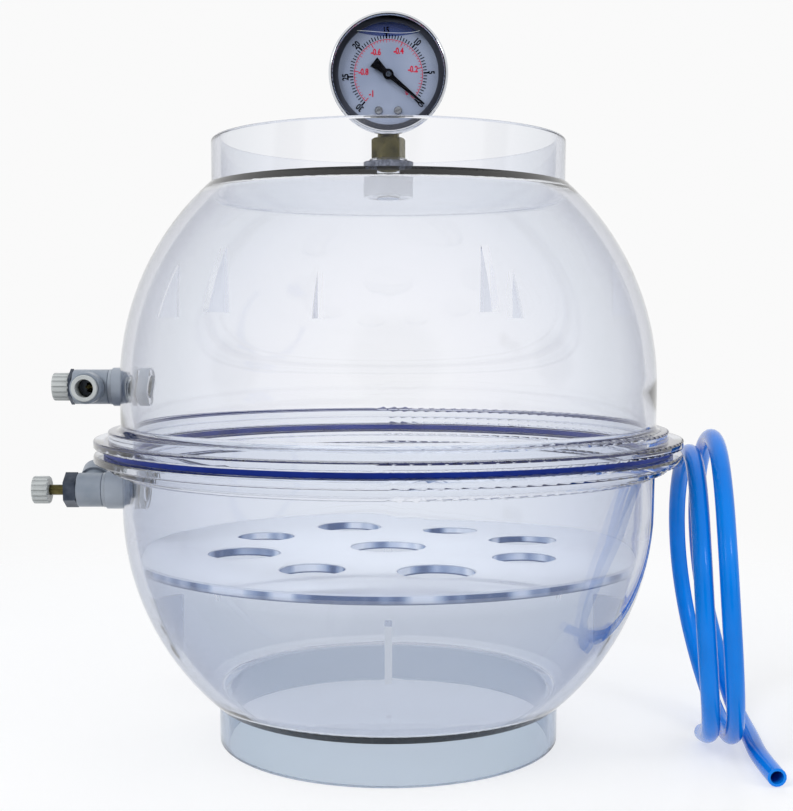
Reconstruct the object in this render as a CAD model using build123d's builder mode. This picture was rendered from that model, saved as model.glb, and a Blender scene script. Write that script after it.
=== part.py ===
from build123d import *
import os
from math import acos, atan2, cos, degrees, hypot, pi, radians, sin, sqrt, tan

# Spherical vacuum chamber: a clear bowl and a lid from the same mould, a blue sealing
# ring between their flanges, a perforated shelf, a liquid-filled vacuum gauge on top,
# two needle valves with swivelling push-in elbows, and a loose coil of tube.
# Millimetres. The origin is on the chamber's axis in the plane of the foot, +Z is up,
# the gauge looks along -Y and the valves stand out along -X.

os.makedirs("parts", exist_ok=True)

# ---- shells -------------------------------------------------------------------------
half_height = 169.0          # foot plane to parting plane, and parting plane to collar rim
sphere_radius = 150.0        # outside of the round wall
shell_wall = 6.0
foot_height = 24.5
foot_radius = 98.0
foot_wall = 5.0
foot_shoulder = 2.34         # the round wall starts this far outside the foot ring
disc_wall = 6.0              # flat end of each shell
disc_corner = 5.0            # inside corner between the flat end and the round wall
edge_round = 1.2             # small rounds on moulded edges

# ---- flanges and sealing ring -------------------------------------------------------
flange_radius = 165.0
flange_thickness = 4.6
step_radius = 157.0          # thicker inner part of the flange
step_height = 4.6
step_root = 3.0              # fillet from the step into the wall
seal_thickness = 3.5         # as squeezed between the flanges
seal_inset = 1.5             # inner edge of the ring from the inside of the wall
seal_width = 14.0
seal_edge = 0.9
bead_inset = 8.0             # locating bead under the ring, from the inside of the wall
bead_width = 3.0
bead_depth = 1.4
bead_clearance = 0.15

# ---- ribs ---------------------------------------------------------------------------
rib_count = 6
rib_thickness = 3.6
rib_inner_radius = 125.0
rib_ledge_depth = 73.5       # parting plane to the flat edge of the ribs
first_rib = 90.0             # direction of one of the bowl's ribs, from +X
lid_rib_turn = 21.0          # the lid stands turned on the bowl by this angle

# ---- shelf --------------------------------------------------------------------------
shelf_thickness = 5.0
shelf_top = 111.0
shelf_seat_height = 2.0      # bevelled lower edge that rests on the round wall
shelf_seat_clearance = 0.05
shelf_centre_hole = 43.0
shelf_large_hole = 40.0
shelf_small_hole = 34.0
shelf_hole_circle = 84.0     # radius
shelf_hole_pairs = 4         # one large and one small hole each
shelf_hole_turn = 17.0
shelf_edge = 0.8

# ---- gauge on the lid ---------------------------------------------------------------
gauge_boss_diameter = 27.4
gauge_boss_height = 13.5
pipe_thread_diameter = 13.1  # quarter-inch pipe thread, crest to crest
thread_clearance = 0.05
gauge_thread_length = 17.0
socket_washer_diameter = 21.0
socket_washer_thickness = 1.5
hex_width = 16.5
hex_height = 11.5
hex_chamfer = 0.9
neck_diameter = 12.0
neck_clearance = 0.15
gauge_lift = 33.0            # hex top to the middle of the dial
bezel_diameter = 65.0
bezel_wall = 1.2
bezel_front = 15.0           # distance of each face in front of the socket's axis
window_front = 13.4
window_thickness = 1.6
gasket_thickness = 1.2
case_diameter = 59.6
case_wall = 1.0
case_lip = 1.1
case_back = 14.0
case_bevel = 3.0             # back edge of the case
bezel_lip_thickness = 0.7
bezel_front_flat = 1.3       # turned steps of the bezel's front edge
bezel_step = 1.0
bezel_shoulder = 1.6
crimp_length = 1.1           # where the bezel is rolled over behind the case's lip
crimp_gap = 0.15
plug_offset = 3.0            # filling hole, behind the middle of the case
plug_radius = 3.0
plug_head_radius = 4.4
plug_head_height = 1.3
bezel_lip = 1.0              # how far the bezel laps over the window
gasket_inner_radius = 27.3
dial_radius = 28.0
dial_front = 8.0
dial_thickness = 0.8
zero_angle = -39.0           # pointer at rest, from +X towards +Z
dial_screw_spread = 10.6
dial_screw_drop = 19.0
dial_screw_diameter = 4.4
dial_post_diameter = 4.8
dial_hole_radius = 1.2
screw_shank_radius = 1.0
screw_head_height = 1.2
screw_slot = 0.7
screw_slot_turn = 28.0
block_width = 16.0
block_depth = 8.0
block_height = 11.5
block_gap = 1.4              # block to the inside of the case
channel_diameter = 3.5

# ---- gauge movement -----------------------------------------------------------------
gear_module = 0.4
pinion_teeth = 10
sector_teeth = 80            # as a whole wheel; only the working arc is cut
sector_cut_teeth = 12        # teeth on the working arc
sector_lead_teeth = 2        # of them, those past the mesh with the pointer at zero
sector_backlash = 0.10
tip_shortening = 0.15        # of the gear addendum
gear_half_width = 1.0
pivot_angle = 200.0          # sector pivot, seen from the middle of the dial
arbor_radius = 0.8
bearing_clearance = 0.05
plate_thickness = 1.0
plate_lobe = 3.6
movement_post_radius = 1.4
movement_posts = ((6.0, -8.5), (-7.0, -14.5))
tail_arm = 4.3               # sector pivot to the link pin
link_pin_radius = 0.5
link_thickness = 0.7
link_slot_width = 1.5
tube_loop_radius = 22.6
tube_flat_width = 7.4
tube_flat_thickness = 2.4
tube_start = -72.0
tube_end = 152.0
tip_block_size = 3.4
tip_block_length = 1.6
tip_ear = 3.8                # tube end to the link pin
hairspring_turns = 4
hairspring_start = 2.1
hairspring_pitch = 0.9
hairspring_strip = (0.3, 0.7)

# ---- pointer ------------------------------------------------------------------------
pointer_length = 25.2
pointer_thickness = 0.6
pointer_front = 10.4
pointer_hub_radius = 2.9
pointer_root = 1.5           # half width at the hub
pointer_waist = 18.0
pointer_tip = 0.45
pointer_tail_length = 10.3
pointer_tail_half = 3.1
pointer_boss_radius = 1.9
pointer_boss_height = 0.5

# ---- valves: sizes that both share --------------------------------------------------
valve_boss_diameter = 21.5
valve_washer_diameter = 20.0
valve_washer_thickness = 1.8
shoulder_diameter = 16.0
shoulder_length = 1.5
spigot_diameter = 10.4
needle_diameter = 6.0
running_clearance = 0.05
end_float = 0.2              # free play of the elbow along its spigot
elbow_diameter = 19.6
port_neck_diameter = 14.6
port_head_diameter = 17.6
port_head_start = 10.6       # distances along the port from the valve's axis
port_end = 20.0
tube_stop = 5.6
collet_seat = 10.0
hose_diameter = 10.0
port_clearance = 0.05
collet_sleeve = 12.6
collet_flange = 14.8
collet_flange_thickness = 1.6
collet_travel = 1.0
tube_seal_thickness = 2.4
grab_ring_thickness = 0.5
gallery_width = 4.4
gallery_depth = 0.9
seat_diameter = 3.0
seat_rise = 1.0              # seat, out from the boss face
seat_length = 5.0
cross_bore_radius = 1.4
groove_depth = 1.1
groove_width = 2.0
groove_inset = 1.6           # groove middles from the two ends of the elbow
o_ring_radius = 0.55
bonnet_thread = 4.0          # longest engagement of core and bonnet
needle_point = 3.0           # length of the taper
needle_taper = 14.0
grab_slots = 10
grab_slot = (0.8, 0.5)
bonnet_width = 17.6          # across the flats
bonnet_chamfer = 1.3
knob_diameter = 15.8
knob_length = 9.3
knob_grooves = 16
knob_groove_radius = 0.85
knob_socket = 6.5
knob_gap = 0.4               # knob to bonnet with the needle home
needle_travel = 8.8

# each valve: height from the parting plane, how far its boss stands inside and outside
# the straight wall, length of the elbow body and of the bonnet hex, place and direction of the port
# (0 looks to the front, 180 to the back), and how far the needle is backed off
valves = {
    "lid_valve": dict(
        rise=33.5, boss_root=8.0, boss_length=6.1, body=20.5, hex=1.8,
        port=12.1, port_angle=0.0, opened=0.0,
    ),
    "bowl_valve": dict(
        rise=-25.5, boss_root=4.0, boss_length=11.2, body=14.8, hex=7.0,
        port=9.0, port_angle=155.0, opened=needle_travel,
    ),
}

# ---- hose ---------------------------------------------------------------------------
coil_radius = 83.0
coil_spread = 11.0           # from one turn to the next, along the coil's axis
coil_slack = 1.0             # turns differ in size by this much either way
coil_yaw = 7.7               # far side stands further out
coil_lean = 5.4              # top leans in towards the flange
coil_stand_off = 185.7       # middle of the coil from the chamber's axis
hose_bore = 7.0
tail_route = (
    (201.0, 33.0, 11.5),
    (205.5, 6.0, 5.0),
    (204.0, -24.0, 5.0),
    (200.6, -58.0, 5.0),
    (201.0, -95.0, 5.0),
)

# ---- derived planes and radii -------------------------------------------------------
inner_radius = sphere_radius - shell_wall
seal_inner_radius = inner_radius + seal_inset
seal_outer_radius = seal_inner_radius + seal_width
bead_radius = inner_radius + bead_inset
disc_edge = foot_radius + foot_shoulder
sphere_height = foot_height + sqrt(sphere_radius**2 - disc_edge**2)
flange_face = half_height - seal_thickness / 2
disc_top = foot_height + disc_wall
lid_disc_top = 2 * half_height - foot_height
gauge_boss_top = lid_disc_top + gauge_boss_height
hex_bottom = gauge_boss_top + socket_washer_thickness
hex_top = hex_bottom + hex_height
dial_height = hex_top + gauge_lift
case_radius = case_diameter / 2
for valve in valves.values():
    valve["boss_inside"] = inner_radius - valve["boss_root"]
    valve["boss_outside"] = sphere_radius + valve["boss_length"]
bore_radius = pipe_thread_diameter / 2 + thread_clearance


def save(piece, name):
    """Labels a finished sub-part and writes its STEP file."""
    piece.label = name
    export_step(piece, f"parts/{name}.step")


def round_wall(radius, height):
    """Distance from the axis of a sphere of the bowl at a height above the foot."""
    return sqrt(radius**2 - (sphere_height - height) ** 2)


# ---- the shell that bowl and lid share ----------------------------------------------
def shell_section():
    """Half section of the round wall with its flat end and stepped flange."""
    with BuildSketch(Plane.XZ) as section:
        with BuildLine():
            end_outer = (round_wall(sphere_radius, foot_height), foot_height)
            end_inner = (round_wall(inner_radius, disc_top), disc_top)
            Line((0, foot_height), end_outer)
            RadiusArc(end_outer, (sphere_radius, sphere_height), -sphere_radius)
            step_bottom = flange_face - flange_thickness - step_height
            Polyline(
                (sphere_radius, sphere_height),
                (sphere_radius, step_bottom),
                (step_radius, step_bottom),
                (step_radius, flange_face - flange_thickness),
                (flange_radius, flange_face - flange_thickness),
                (flange_radius, flange_face),
                (inner_radius, flange_face),
                (inner_radius, sphere_height),
            )
            RadiusArc((inner_radius, sphere_height), end_inner, inner_radius)
            Polyline(end_inner, (0, disc_top), (0, foot_height))
        make_face()
        corners = section.vertices()
        wall_root = corners.sort_by_distance((sphere_radius, step_bottom))[0]
        fillet(wall_root, step_root)
        corners = section.vertices()
        inside = corners.sort_by_distance(end_inner)[0]
        fillet(inside, disc_corner)
        for r, z in (
            (step_radius, step_bottom),
            (flange_radius, flange_face - flange_thickness),
            (flange_radius, flange_face),
        ):
            fillet(section.vertices().sort_by_distance((r, z))[0], edge_round)
    return section.sketch


def rib_blank():
    """One gusset inside the round wall, on +X."""
    ledge = half_height - rib_ledge_depth
    middle = (sphere_radius + inner_radius) / 2
    with BuildPart() as rib:
        with BuildSketch(Plane.XZ) as outline:
            with BuildLine():
                low = (rib_inner_radius, round_height(middle, rib_inner_radius))
                high = (round_wall(middle, ledge), ledge)
                Polyline(low, (rib_inner_radius, ledge), high)
                RadiusArc(high, low, middle)
            make_face()
        extrude(amount=rib_thickness / 2, both=True)
    return rib.part


def round_height(radius, distance):
    """Height above the foot of a sphere of the bowl at a distance from the axis."""
    return sphere_height - sqrt(radius**2 - distance**2)


def shell_half(rib_turn):
    """Bowl form with foot ring, flange and ribs."""
    rib = rib_blank()
    with BuildPart() as shell:
        add(shell_section())
        revolve(axis=Axis.Z)
        with BuildSketch(Plane.XY):
            Circle(foot_radius)
            Circle(foot_radius - foot_wall, mode=Mode.SUBTRACT)
        extrude(amount=foot_height + disc_wall / 2)
        foot_edges = shell.edges().group_by(Axis.Z)[0]
        fillet(foot_edges, edge_round)
        with PolarLocations(0, rib_count, start_angle=rib_turn):
            add(rib)
    return shell.part


def valve_plane(valve, distance):
    """Plane across a valve's axis, its normal pointing away from the chamber."""
    height = half_height + valve["rise"]
    return Plane(origin=(-distance, 0, height), x_dir=(0, -1, 0), z_dir=(-1, 0, 0))


# ---- bowl ---------------------------------------------------------------------------
bowl_valve = valves["bowl_valve"]
with BuildPart() as bowl:
    add(shell_half(first_rib))
    with BuildSketch(valve_plane(bowl_valve, bowl_valve["boss_inside"])):
        Circle(valve_boss_diameter / 2)
    extrude(amount=bowl_valve["boss_outside"] - bowl_valve["boss_inside"])
    with BuildSketch(valve_plane(bowl_valve, bowl_valve["boss_inside"] - 1)):
        Circle(bore_radius)
    extrude(amount=bowl_valve["boss_outside"] - bowl_valve["boss_inside"] + 2, mode=Mode.SUBTRACT)
    with BuildSketch(Plane.XY.offset(flange_face)):
        Circle(bead_radius + bead_width / 2 + bead_clearance)
        Circle(bead_radius - bead_width / 2 - bead_clearance, mode=Mode.SUBTRACT)
    extrude(amount=-(bead_depth + bead_clearance), mode=Mode.SUBTRACT)
save(bowl.part, "bowl")

# ---- lid ----------------------------------------------------------------------------
lid_valve = valves["lid_valve"]
with BuildPart() as dome_lid:
    add(shell_half(first_rib + lid_rib_turn))
    mirror(about=Plane.XY.offset(half_height), mode=Mode.REPLACE)
    with BuildSketch(valve_plane(lid_valve, lid_valve["boss_inside"])):
        Circle(valve_boss_diameter / 2)
    extrude(amount=lid_valve["boss_outside"] - lid_valve["boss_inside"])
    with BuildSketch(valve_plane(lid_valve, lid_valve["boss_inside"] - 1)):
        Circle(bore_radius)
    extrude(amount=lid_valve["boss_outside"] - lid_valve["boss_inside"] + 2, mode=Mode.SUBTRACT)
    with BuildSketch(Plane.XY.offset(lid_disc_top - disc_wall / 2)):
        Circle(gauge_boss_diameter / 2)
    extrude(amount=disc_wall / 2 + gauge_boss_height)
    with BuildSketch(Plane.XY.offset(lid_disc_top - disc_wall - 1)):
        Circle(bore_radius)
    extrude(amount=disc_wall + gauge_boss_height + 2, mode=Mode.SUBTRACT)
save(dome_lid.part, "dome_lid")

# ---- sealing ring -------------------------------------------------------------------
with BuildPart() as seal_ring:
    with BuildSketch(Plane.XZ):
        with Locations(((seal_inner_radius + seal_outer_radius) / 2, half_height)):
            RectangleRounded(seal_width, seal_thickness, seal_edge)
        with Locations((bead_radius, flange_face - bead_depth / 2 + seal_edge / 2)):
            Rectangle(bead_width, bead_depth + seal_edge)
    revolve(axis=Axis.Z)
save(seal_ring.part, "seal_ring")

# ---- shelf --------------------------------------------------------------------------
shelf_bottom = shelf_top - shelf_thickness
with BuildPart() as shelf_plate:
    with BuildSketch(Plane.XZ):
        with BuildLine():
            seat_low = round_wall(inner_radius - shelf_seat_clearance, shelf_bottom)
            seat_high = round_wall(
                inner_radius - shelf_seat_clearance, shelf_bottom + shelf_seat_height
            )
            Polyline(
                (0, shelf_bottom),
                (seat_low, shelf_bottom),
                (seat_high, shelf_bottom + shelf_seat_height),
                (seat_high, shelf_top - shelf_edge),
                (seat_high - shelf_edge, shelf_top),
                (0, shelf_top),
                (0, shelf_bottom),
            )
        make_face()
    revolve(axis=Axis.Z)
    with BuildSketch(Plane.XY.offset(shelf_bottom)) as shelf_holes:
        Circle(shelf_centre_hole / 2)
        first_large = shelf_hole_turn - 90
        first_small = first_large + 180 / shelf_hole_pairs
        with PolarLocations(shelf_hole_circle, shelf_hole_pairs, start_angle=first_large):
            Circle(shelf_large_hole / 2)
        with PolarLocations(shelf_hole_circle, shelf_hole_pairs, start_angle=first_small):
            Circle(shelf_small_hole / 2)
    extrude(amount=shelf_thickness, mode=Mode.SUBTRACT)
    hole_rims = shelf_plate.faces().sort_by(Axis.Z)[-1].inner_wires().edges()
    fillet(hole_rims, shelf_edge)
save(shelf_plate.part, "shelf_plate")

# ---- gauge: pieces turned about the dial's axis -------------------------------------
dial_centre = (0, 0, dial_height)
dial_axis = Axis(dial_centre, (0, 1, 0))
# half section of the turned pieces: x is the distance from the dial's axis and y runs
# from the socket's axis towards the viewer
turned_plane = Plane(origin=dial_centre, x_dir=(1, 0, 0), z_dir=(0, 0, 1))


def front_plane(distance):
    """Plane parallel to the dial, with +Z up and its normal towards the viewer."""
    return Plane(origin=(0, -distance, dial_height), x_dir=(1, 0, 0), z_dir=(0, -1, 0))


gasket_front = window_front - window_thickness
case_front = gasket_front - gasket_thickness
bezel_radius = bezel_diameter / 2
bezel_inside = bezel_radius - bezel_wall
window_radius = bezel_inside - 0.1

with BuildPart() as gauge_case:
    with BuildSketch(turned_plane):
        with BuildLine():
            Polyline(
                (0, case_back),
                (case_radius - case_bevel, case_back),
                (case_radius, case_back - case_bevel),
                (case_radius, -case_front + case_lip),
                (window_radius, -case_front + case_lip),
                (window_radius, -case_front),
                (case_radius - case_wall, -case_front),
                (case_radius - case_wall, case_back - case_bevel - 0.4),
                (case_radius - case_bevel - 0.4, case_back - case_wall),
                (0, case_back - case_wall),
                (0, case_back),
            )
        make_face()
    revolve(axis=dial_axis)
    with BuildSketch(Plane.XY.offset(hex_top)):
        Circle(neck_diameter / 2 + neck_clearance)
    extrude(amount=gauge_lift - case_radius + 2 * case_wall + 1, mode=Mode.SUBTRACT)
    with BuildSketch(Plane.XY.offset(dial_height + case_radius - 3)):
        with Locations((0, plug_offset)):
            Circle(plug_radius)
    extrude(amount=6, mode=Mode.SUBTRACT)
save(gauge_case.part, "gauge_case")

with BuildPart() as gauge_bezel:
    with BuildSketch(turned_plane):
        with BuildLine():
            crimp = case_front - case_lip
            lip_inside = window_radius - bezel_lip
            Polyline(
                (lip_inside, -window_front),
                (lip_inside, -window_front - bezel_lip_thickness),
                (lip_inside + 0.5, -bezel_front),
                (bezel_radius - bezel_front_flat, -bezel_front),
                (bezel_radius - bezel_step, -bezel_front + 0.9 * bezel_step),
                (bezel_radius - 0.4 * bezel_step, -bezel_front + bezel_step),
                (bezel_radius, -bezel_front + bezel_shoulder),
                (bezel_radius, -crimp + crimp_length - 0.5),
                (bezel_radius - 0.5, -crimp + crimp_length),
                (case_radius + crimp_gap, -crimp + crimp_length),
                (case_radius + crimp_gap, -crimp),
                (bezel_inside, -crimp),
                (bezel_inside, -window_front),
                (lip_inside, -window_front),
            )
        make_face()
    revolve(axis=dial_axis)
save(gauge_bezel.part, "gauge_bezel")

with BuildPart() as gauge_window:
    with BuildSketch(front_plane(gasket_front)):
        Circle(window_radius)
    extrude(amount=window_thickness)
save(gauge_window.part, "gauge_window")

with BuildPart() as gauge_gasket:
    with BuildSketch(front_plane(case_front)):
        Circle(window_radius)
        Circle(gasket_inner_radius, mode=Mode.SUBTRACT)
    extrude(amount=gasket_thickness)
save(gauge_gasket.part, "gauge_gasket")

with BuildPart() as fill_plug:
    with BuildSketch(Plane.XY.offset(dial_height + case_radius - 2.6)):
        with Locations((0, plug_offset)):
            Circle(plug_radius - 0.1)
    extrude(amount=2.8)
    with BuildSketch(Plane.XY.offset(dial_height + case_radius + 0.2)):
        with Locations((0, plug_offset)):
            Circle(plug_head_radius)
    extrude(amount=plug_head_height)
    fillet(fill_plug.edges().group_by(Axis.Z)[-1], 0.5)
save(fill_plug.part, "fill_plug")

# ---- gauge: socket with its block ---------------------------------------------------
block_bottom = hex_top + gauge_lift - case_radius + case_wall + block_gap
with BuildPart() as gauge_socket:
    with BuildSketch(Plane.XY.offset(gauge_boss_top - gauge_thread_length)):
        Circle(pipe_thread_diameter / 2)
    extrude(amount=gauge_thread_length + socket_washer_thickness)
    chamfer(gauge_socket.edges().group_by(Axis.Z)[0], 1.0)
    with BuildSketch(Plane.XY.offset(hex_bottom)) as hex_outline:
        RegularPolygon(hex_width / 2, 6, major_radius=False, rotation=10)
    extrude(amount=hex_height)
    with BuildSketch(Plane.XZ) as hex_corners:
        reach = hex_width / sqrt(3) + 0.2
        crest = hex_width / 2
        with BuildLine():
            Polyline(
                (crest, hex_top + 0.01),
                (reach, hex_top + 0.01),
                (reach, hex_top - hex_chamfer),
                (crest, hex_top + 0.01),
            )
        make_face()
        with BuildLine():
            Polyline(
                (crest, hex_bottom - 0.01),
                (reach, hex_bottom - 0.01),
                (reach, hex_bottom + hex_chamfer),
                (crest, hex_bottom - 0.01),
            )
        make_face()
    revolve(axis=Axis.Z, mode=Mode.SUBTRACT)
    with BuildSketch(Plane.XY.offset(hex_top)):
        Circle(neck_diameter / 2)
    extrude(amount=block_bottom - hex_top)
    with BuildSketch(Plane.XY.offset(block_bottom)):
        Rectangle(block_width, block_depth)
    extrude(amount=block_height)
    with BuildSketch(front_plane(block_depth / 2)):
        with Locations((0, -dial_screw_drop)):
            with GridLocations(dial_screw_spread, 0, 2, 1):
                Circle(dial_post_diameter / 2)
    extrude(amount=dial_front - dial_thickness - block_depth / 2)
    with BuildSketch(Plane.XY.offset(gauge_boss_top - gauge_thread_length - 1)):
        Circle(channel_diameter / 2)
    extrude(
        amount=block_bottom + block_height / 2 - gauge_boss_top + gauge_thread_length + 1,
        mode=Mode.SUBTRACT,
    )
    with BuildSketch(front_plane(dial_front - dial_thickness)):
        with Locations((0, -dial_screw_drop)):
            with GridLocations(dial_screw_spread, 0, 2, 1):
                Circle(1.05)
    extrude(amount=-3.2, mode=Mode.SUBTRACT)
save(gauge_socket.part, "gauge_socket")

with BuildPart() as socket_washer:
    with BuildSketch(Plane.XY.offset(gauge_boss_top)):
        Circle(socket_washer_diameter / 2)
        Circle(bore_radius, mode=Mode.SUBTRACT)
    extrude(amount=socket_washer_thickness)
save(socket_washer.part, "socket_washer")

# ---- gauge: dial and its screws -----------------------------------------------------
with BuildPart() as gauge_dial:
    with BuildSketch(front_plane(dial_front - dial_thickness)):
        Circle(dial_radius)
        Circle(arbor_radius + 1.2, mode=Mode.SUBTRACT)
        with Locations((0, -dial_screw_drop)):
            with GridLocations(dial_screw_spread, 0, 2, 1):
                Circle(dial_hole_radius, mode=Mode.SUBTRACT)
    extrude(amount=dial_thickness)
save(gauge_dial.part, "gauge_dial")

with BuildPart() as dial_screws:
    with BuildSketch(front_plane(dial_front)):
        with Locations((0, -dial_screw_drop)):
            with GridLocations(dial_screw_spread, 0, 2, 1):
                Circle(dial_screw_diameter / 2)
    extrude(amount=screw_head_height)
    head_rims = dial_screws.edges().filter_by(GeomType.CIRCLE).group_by(Axis.Y)[0]
    fillet(head_rims, 0.6)
    with BuildSketch(front_plane(dial_front + 0.7)):
        with Locations((0, -dial_screw_drop)):
            with GridLocations(dial_screw_spread, 0, 2, 1):
                Rectangle(dial_screw_diameter + 1, screw_slot, rotation=screw_slot_turn)
    extrude(amount=1, mode=Mode.SUBTRACT)
    with BuildSketch(front_plane(dial_front)):
        with Locations((0, -dial_screw_drop)):
            with GridLocations(dial_screw_spread, 0, 2, 1):
                Circle(screw_shank_radius)
    extrude(amount=-(dial_thickness + 2.8))
save(dial_screws.part, "dial_screws")

# ---- gauge: movement ----------------------------------------------------------------
pinion_pitch_radius = gear_module * pinion_teeth / 2
sector_pitch_radius = gear_module * sector_teeth / 2
centre_distance = pinion_pitch_radius + sector_pitch_radius
pivot_x = centre_distance * cos(radians(pivot_angle))
pivot_z = centre_distance * sin(radians(pivot_angle))
# the sector starts with its last teeth in mesh and swings through this angle
pointer_sweep = 267.0
sector_sweep = pointer_sweep * pinion_teeth / sector_teeth
mesh_direction = pivot_angle - 180.0


def tooth_outline(pitch_radius, direction, slimming):
    """Corner points of one involute tooth with its middle at a direction in degrees."""
    addendum = gear_module * (1 - tip_shortening)
    base_radius = pitch_radius * cos(radians(20))
    root_radius = pitch_radius - 1.2 * gear_module
    half_tooth = (pi * gear_module / 2 - slimming) / 2 / pitch_radius
    rise = tan(radians(20)) - radians(20)
    flank_start = max(base_radius, root_radius)
    flank = []
    for step in range(4):
        radius = flank_start + (pitch_radius + addendum - flank_start) * step / 3
        roll = acos(min(1.0, base_radius / radius))
        flank.append((radius, half_tooth + rise - (tan(roll) - roll)))
    flank.insert(0, (root_radius - gear_module / 8, flank[0][1]))
    right = [(r, -a) for r, a in flank]
    left = [(r, a) for r, a in reversed(flank)]
    middle = radians(direction)
    return [(r * cos(middle + a), r * sin(middle + a)) for r, a in right + left]


with BuildPart() as pinion_arbor:
    with BuildSketch(front_plane(-gear_half_width)) as pinion_face:
        Circle(pinion_pitch_radius - 1.2 * gear_module)
        for tooth in range(pinion_teeth):
            turn = pivot_angle + (tooth + 0.5) * 360 / pinion_teeth
            with BuildLine():
                Polyline(*tooth_outline(pinion_pitch_radius, turn, sector_backlash), close=True)
            make_face()
    extrude(amount=2 * gear_half_width)
    arbor_back = block_depth / 2 + plate_thickness
    with BuildSketch(front_plane(-arbor_back)):
        Circle(arbor_radius)
    extrude(amount=arbor_back + pointer_front - 0.2)
save(pinion_arbor.part, "pinion_arbor")

sector_half_arc = sector_cut_teeth / 2 * 360 / sector_teeth
tooth_angle = 360 / sector_teeth
sector_middle = mesh_direction + (sector_cut_teeth / 2 - sector_lead_teeth - 0.5) * tooth_angle
# the link pin works level with the pivot: half its swing below, half above
tail_angle = 180 + sector_sweep / 2
with BuildPart() as sector_gear:
    with BuildSketch(front_plane(-gear_half_width)) as sector_face:
        with Locations((pivot_x, pivot_z)):
            Circle(2.6)
        with BuildLine():
            rim = sector_pitch_radius - 1.2 * gear_module
            edge_a = radians(sector_middle - sector_half_arc)
            edge_b = radians(sector_middle + sector_half_arc)
            centre_turn = radians(sector_middle)
            low = (pivot_x + rim * cos(edge_a), pivot_z + rim * sin(edge_a))
            high = (pivot_x + rim * cos(edge_b), pivot_z + rim * sin(edge_b))
            crown = (pivot_x + rim * cos(centre_turn), pivot_z + rim * sin(centre_turn))
            Line((pivot_x, pivot_z), low)
            ThreePointArc(low, crown, high)
            Line(high, (pivot_x, pivot_z))
        make_face()
        for tooth in range(sector_cut_teeth):
            turn = mesh_direction + (tooth - sector_lead_teeth) * tooth_angle
            points = tooth_outline(sector_pitch_radius, turn, sector_backlash)
            with BuildLine():
                Polyline(*[(pivot_x + x, pivot_z + z) for x, z in points], close=True)
            make_face()
        window_turn = radians(sector_middle)
        with Locations(
            (pivot_x + 0.62 * rim * cos(window_turn), pivot_z + 0.62 * rim * sin(window_turn))
        ):
            Circle(0.18 * rim, mode=Mode.SUBTRACT)
        tail_x = pivot_x + tail_arm * cos(radians(tail_angle))
        tail_z = pivot_z + tail_arm * sin(radians(tail_angle))
        with Locations(((pivot_x + tail_x) / 2, (pivot_z + tail_z) / 2)):
            SlotCenterToCenter(tail_arm, 2.0, rotation=tail_angle)
    extrude(amount=2 * gear_half_width)
    with BuildSketch(front_plane(-arbor_back)):
        with Locations((pivot_x, pivot_z)):
            Circle(arbor_radius)
    extrude(amount=arbor_back + block_depth / 2 + plate_thickness)
    with BuildSketch(front_plane(gear_half_width)):
        with Locations((tail_x, tail_z)):
            Circle(link_pin_radius)
    extrude(amount=1.4)
save(sector_gear.part, "sector_gear")

with BuildPart() as movement_frame:
    with BuildSketch(front_plane(-block_depth / 2 - plate_thickness)) as back_plate:
        with Locations((0, 0), (pivot_x, pivot_z), (5.5, -18.5), (-5.5, -18.5)):
            Circle(plate_lobe)
        make_hull()
        with Locations((0, 0), (pivot_x, pivot_z)):
            Circle(arbor_radius + bearing_clearance, mode=Mode.SUBTRACT)
    extrude(amount=plate_thickness)
    with BuildSketch(front_plane(block_depth / 2 + 0.2)) as front_plate:
        with Locations((0, 0), (pivot_x, pivot_z), *movement_posts):
            Circle(plate_lobe - 0.8)
        make_hull()
        with Locations((0, 0), (pivot_x, pivot_z)):
            Circle(arbor_radius + bearing_clearance, mode=Mode.SUBTRACT)
        with Locations((0, -dial_screw_drop)):
            with GridLocations(dial_screw_spread, 0, 2, 1):
                Circle(dial_post_diameter / 2 + 0.5, mode=Mode.SUBTRACT)
    extrude(amount=plate_thickness)
    with BuildSketch(front_plane(-block_depth / 2)):
        with Locations(*movement_posts):
            Circle(movement_post_radius)
    extrude(amount=block_depth + 0.2)
save(movement_frame.part, "movement_frame")

with BuildPart() as bourdon_tube:
    with BuildLine(front_plane(0)) as tube_path:
        CenterArc((0, 0), tube_loop_radius, tube_start, tube_end - tube_start)
    with BuildSketch(Plane(tube_path.line @ 0, x_dir=(0, 1, 0), z_dir=tube_path.line % 0)):
        SlotOverall(tube_flat_width, tube_flat_thickness)
    sweep()
save(bourdon_tube.part, "bourdon_tube")

tube_end_turn = radians(tube_end)
end_x = tube_loop_radius * cos(tube_end_turn)
end_z = tube_loop_radius * sin(tube_end_turn)
tip_x = end_x - tip_ear * sin(tube_end_turn)
tip_z = end_z + tip_ear * cos(tube_end_turn)
link_back = gear_half_width + 0.3
slot_length = 2 * tail_arm * sin(radians(sector_sweep) / 2) + 0.6
slot_x = pivot_x - tail_arm
slot_z = pivot_z
link_length = hypot(tip_x - slot_x, tip_z - slot_z) + slot_length / 2
link_turn = atan2(slot_z - tip_z, slot_x - tip_x)
with BuildPart() as tip_link:
    with BuildSketch(front_plane(link_back)):
        middle_x = tip_x + link_length / 2 * cos(link_turn)
        middle_z = tip_z + link_length / 2 * sin(link_turn)
        with Locations((middle_x, middle_z)):
            SlotCenterToCenter(link_length, link_slot_width + 1.6, rotation=degrees(link_turn))
        with Locations((slot_x, slot_z)):
            SlotCenterToCenter(
                slot_length, link_slot_width, rotation=degrees(link_turn), mode=Mode.SUBTRACT
            )
        with Locations((tip_x, tip_z)):
            Circle(link_pin_radius + bearing_clearance, mode=Mode.SUBTRACT)
    extrude(amount=link_thickness)
save(tip_link.part, "tip_link")

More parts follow.
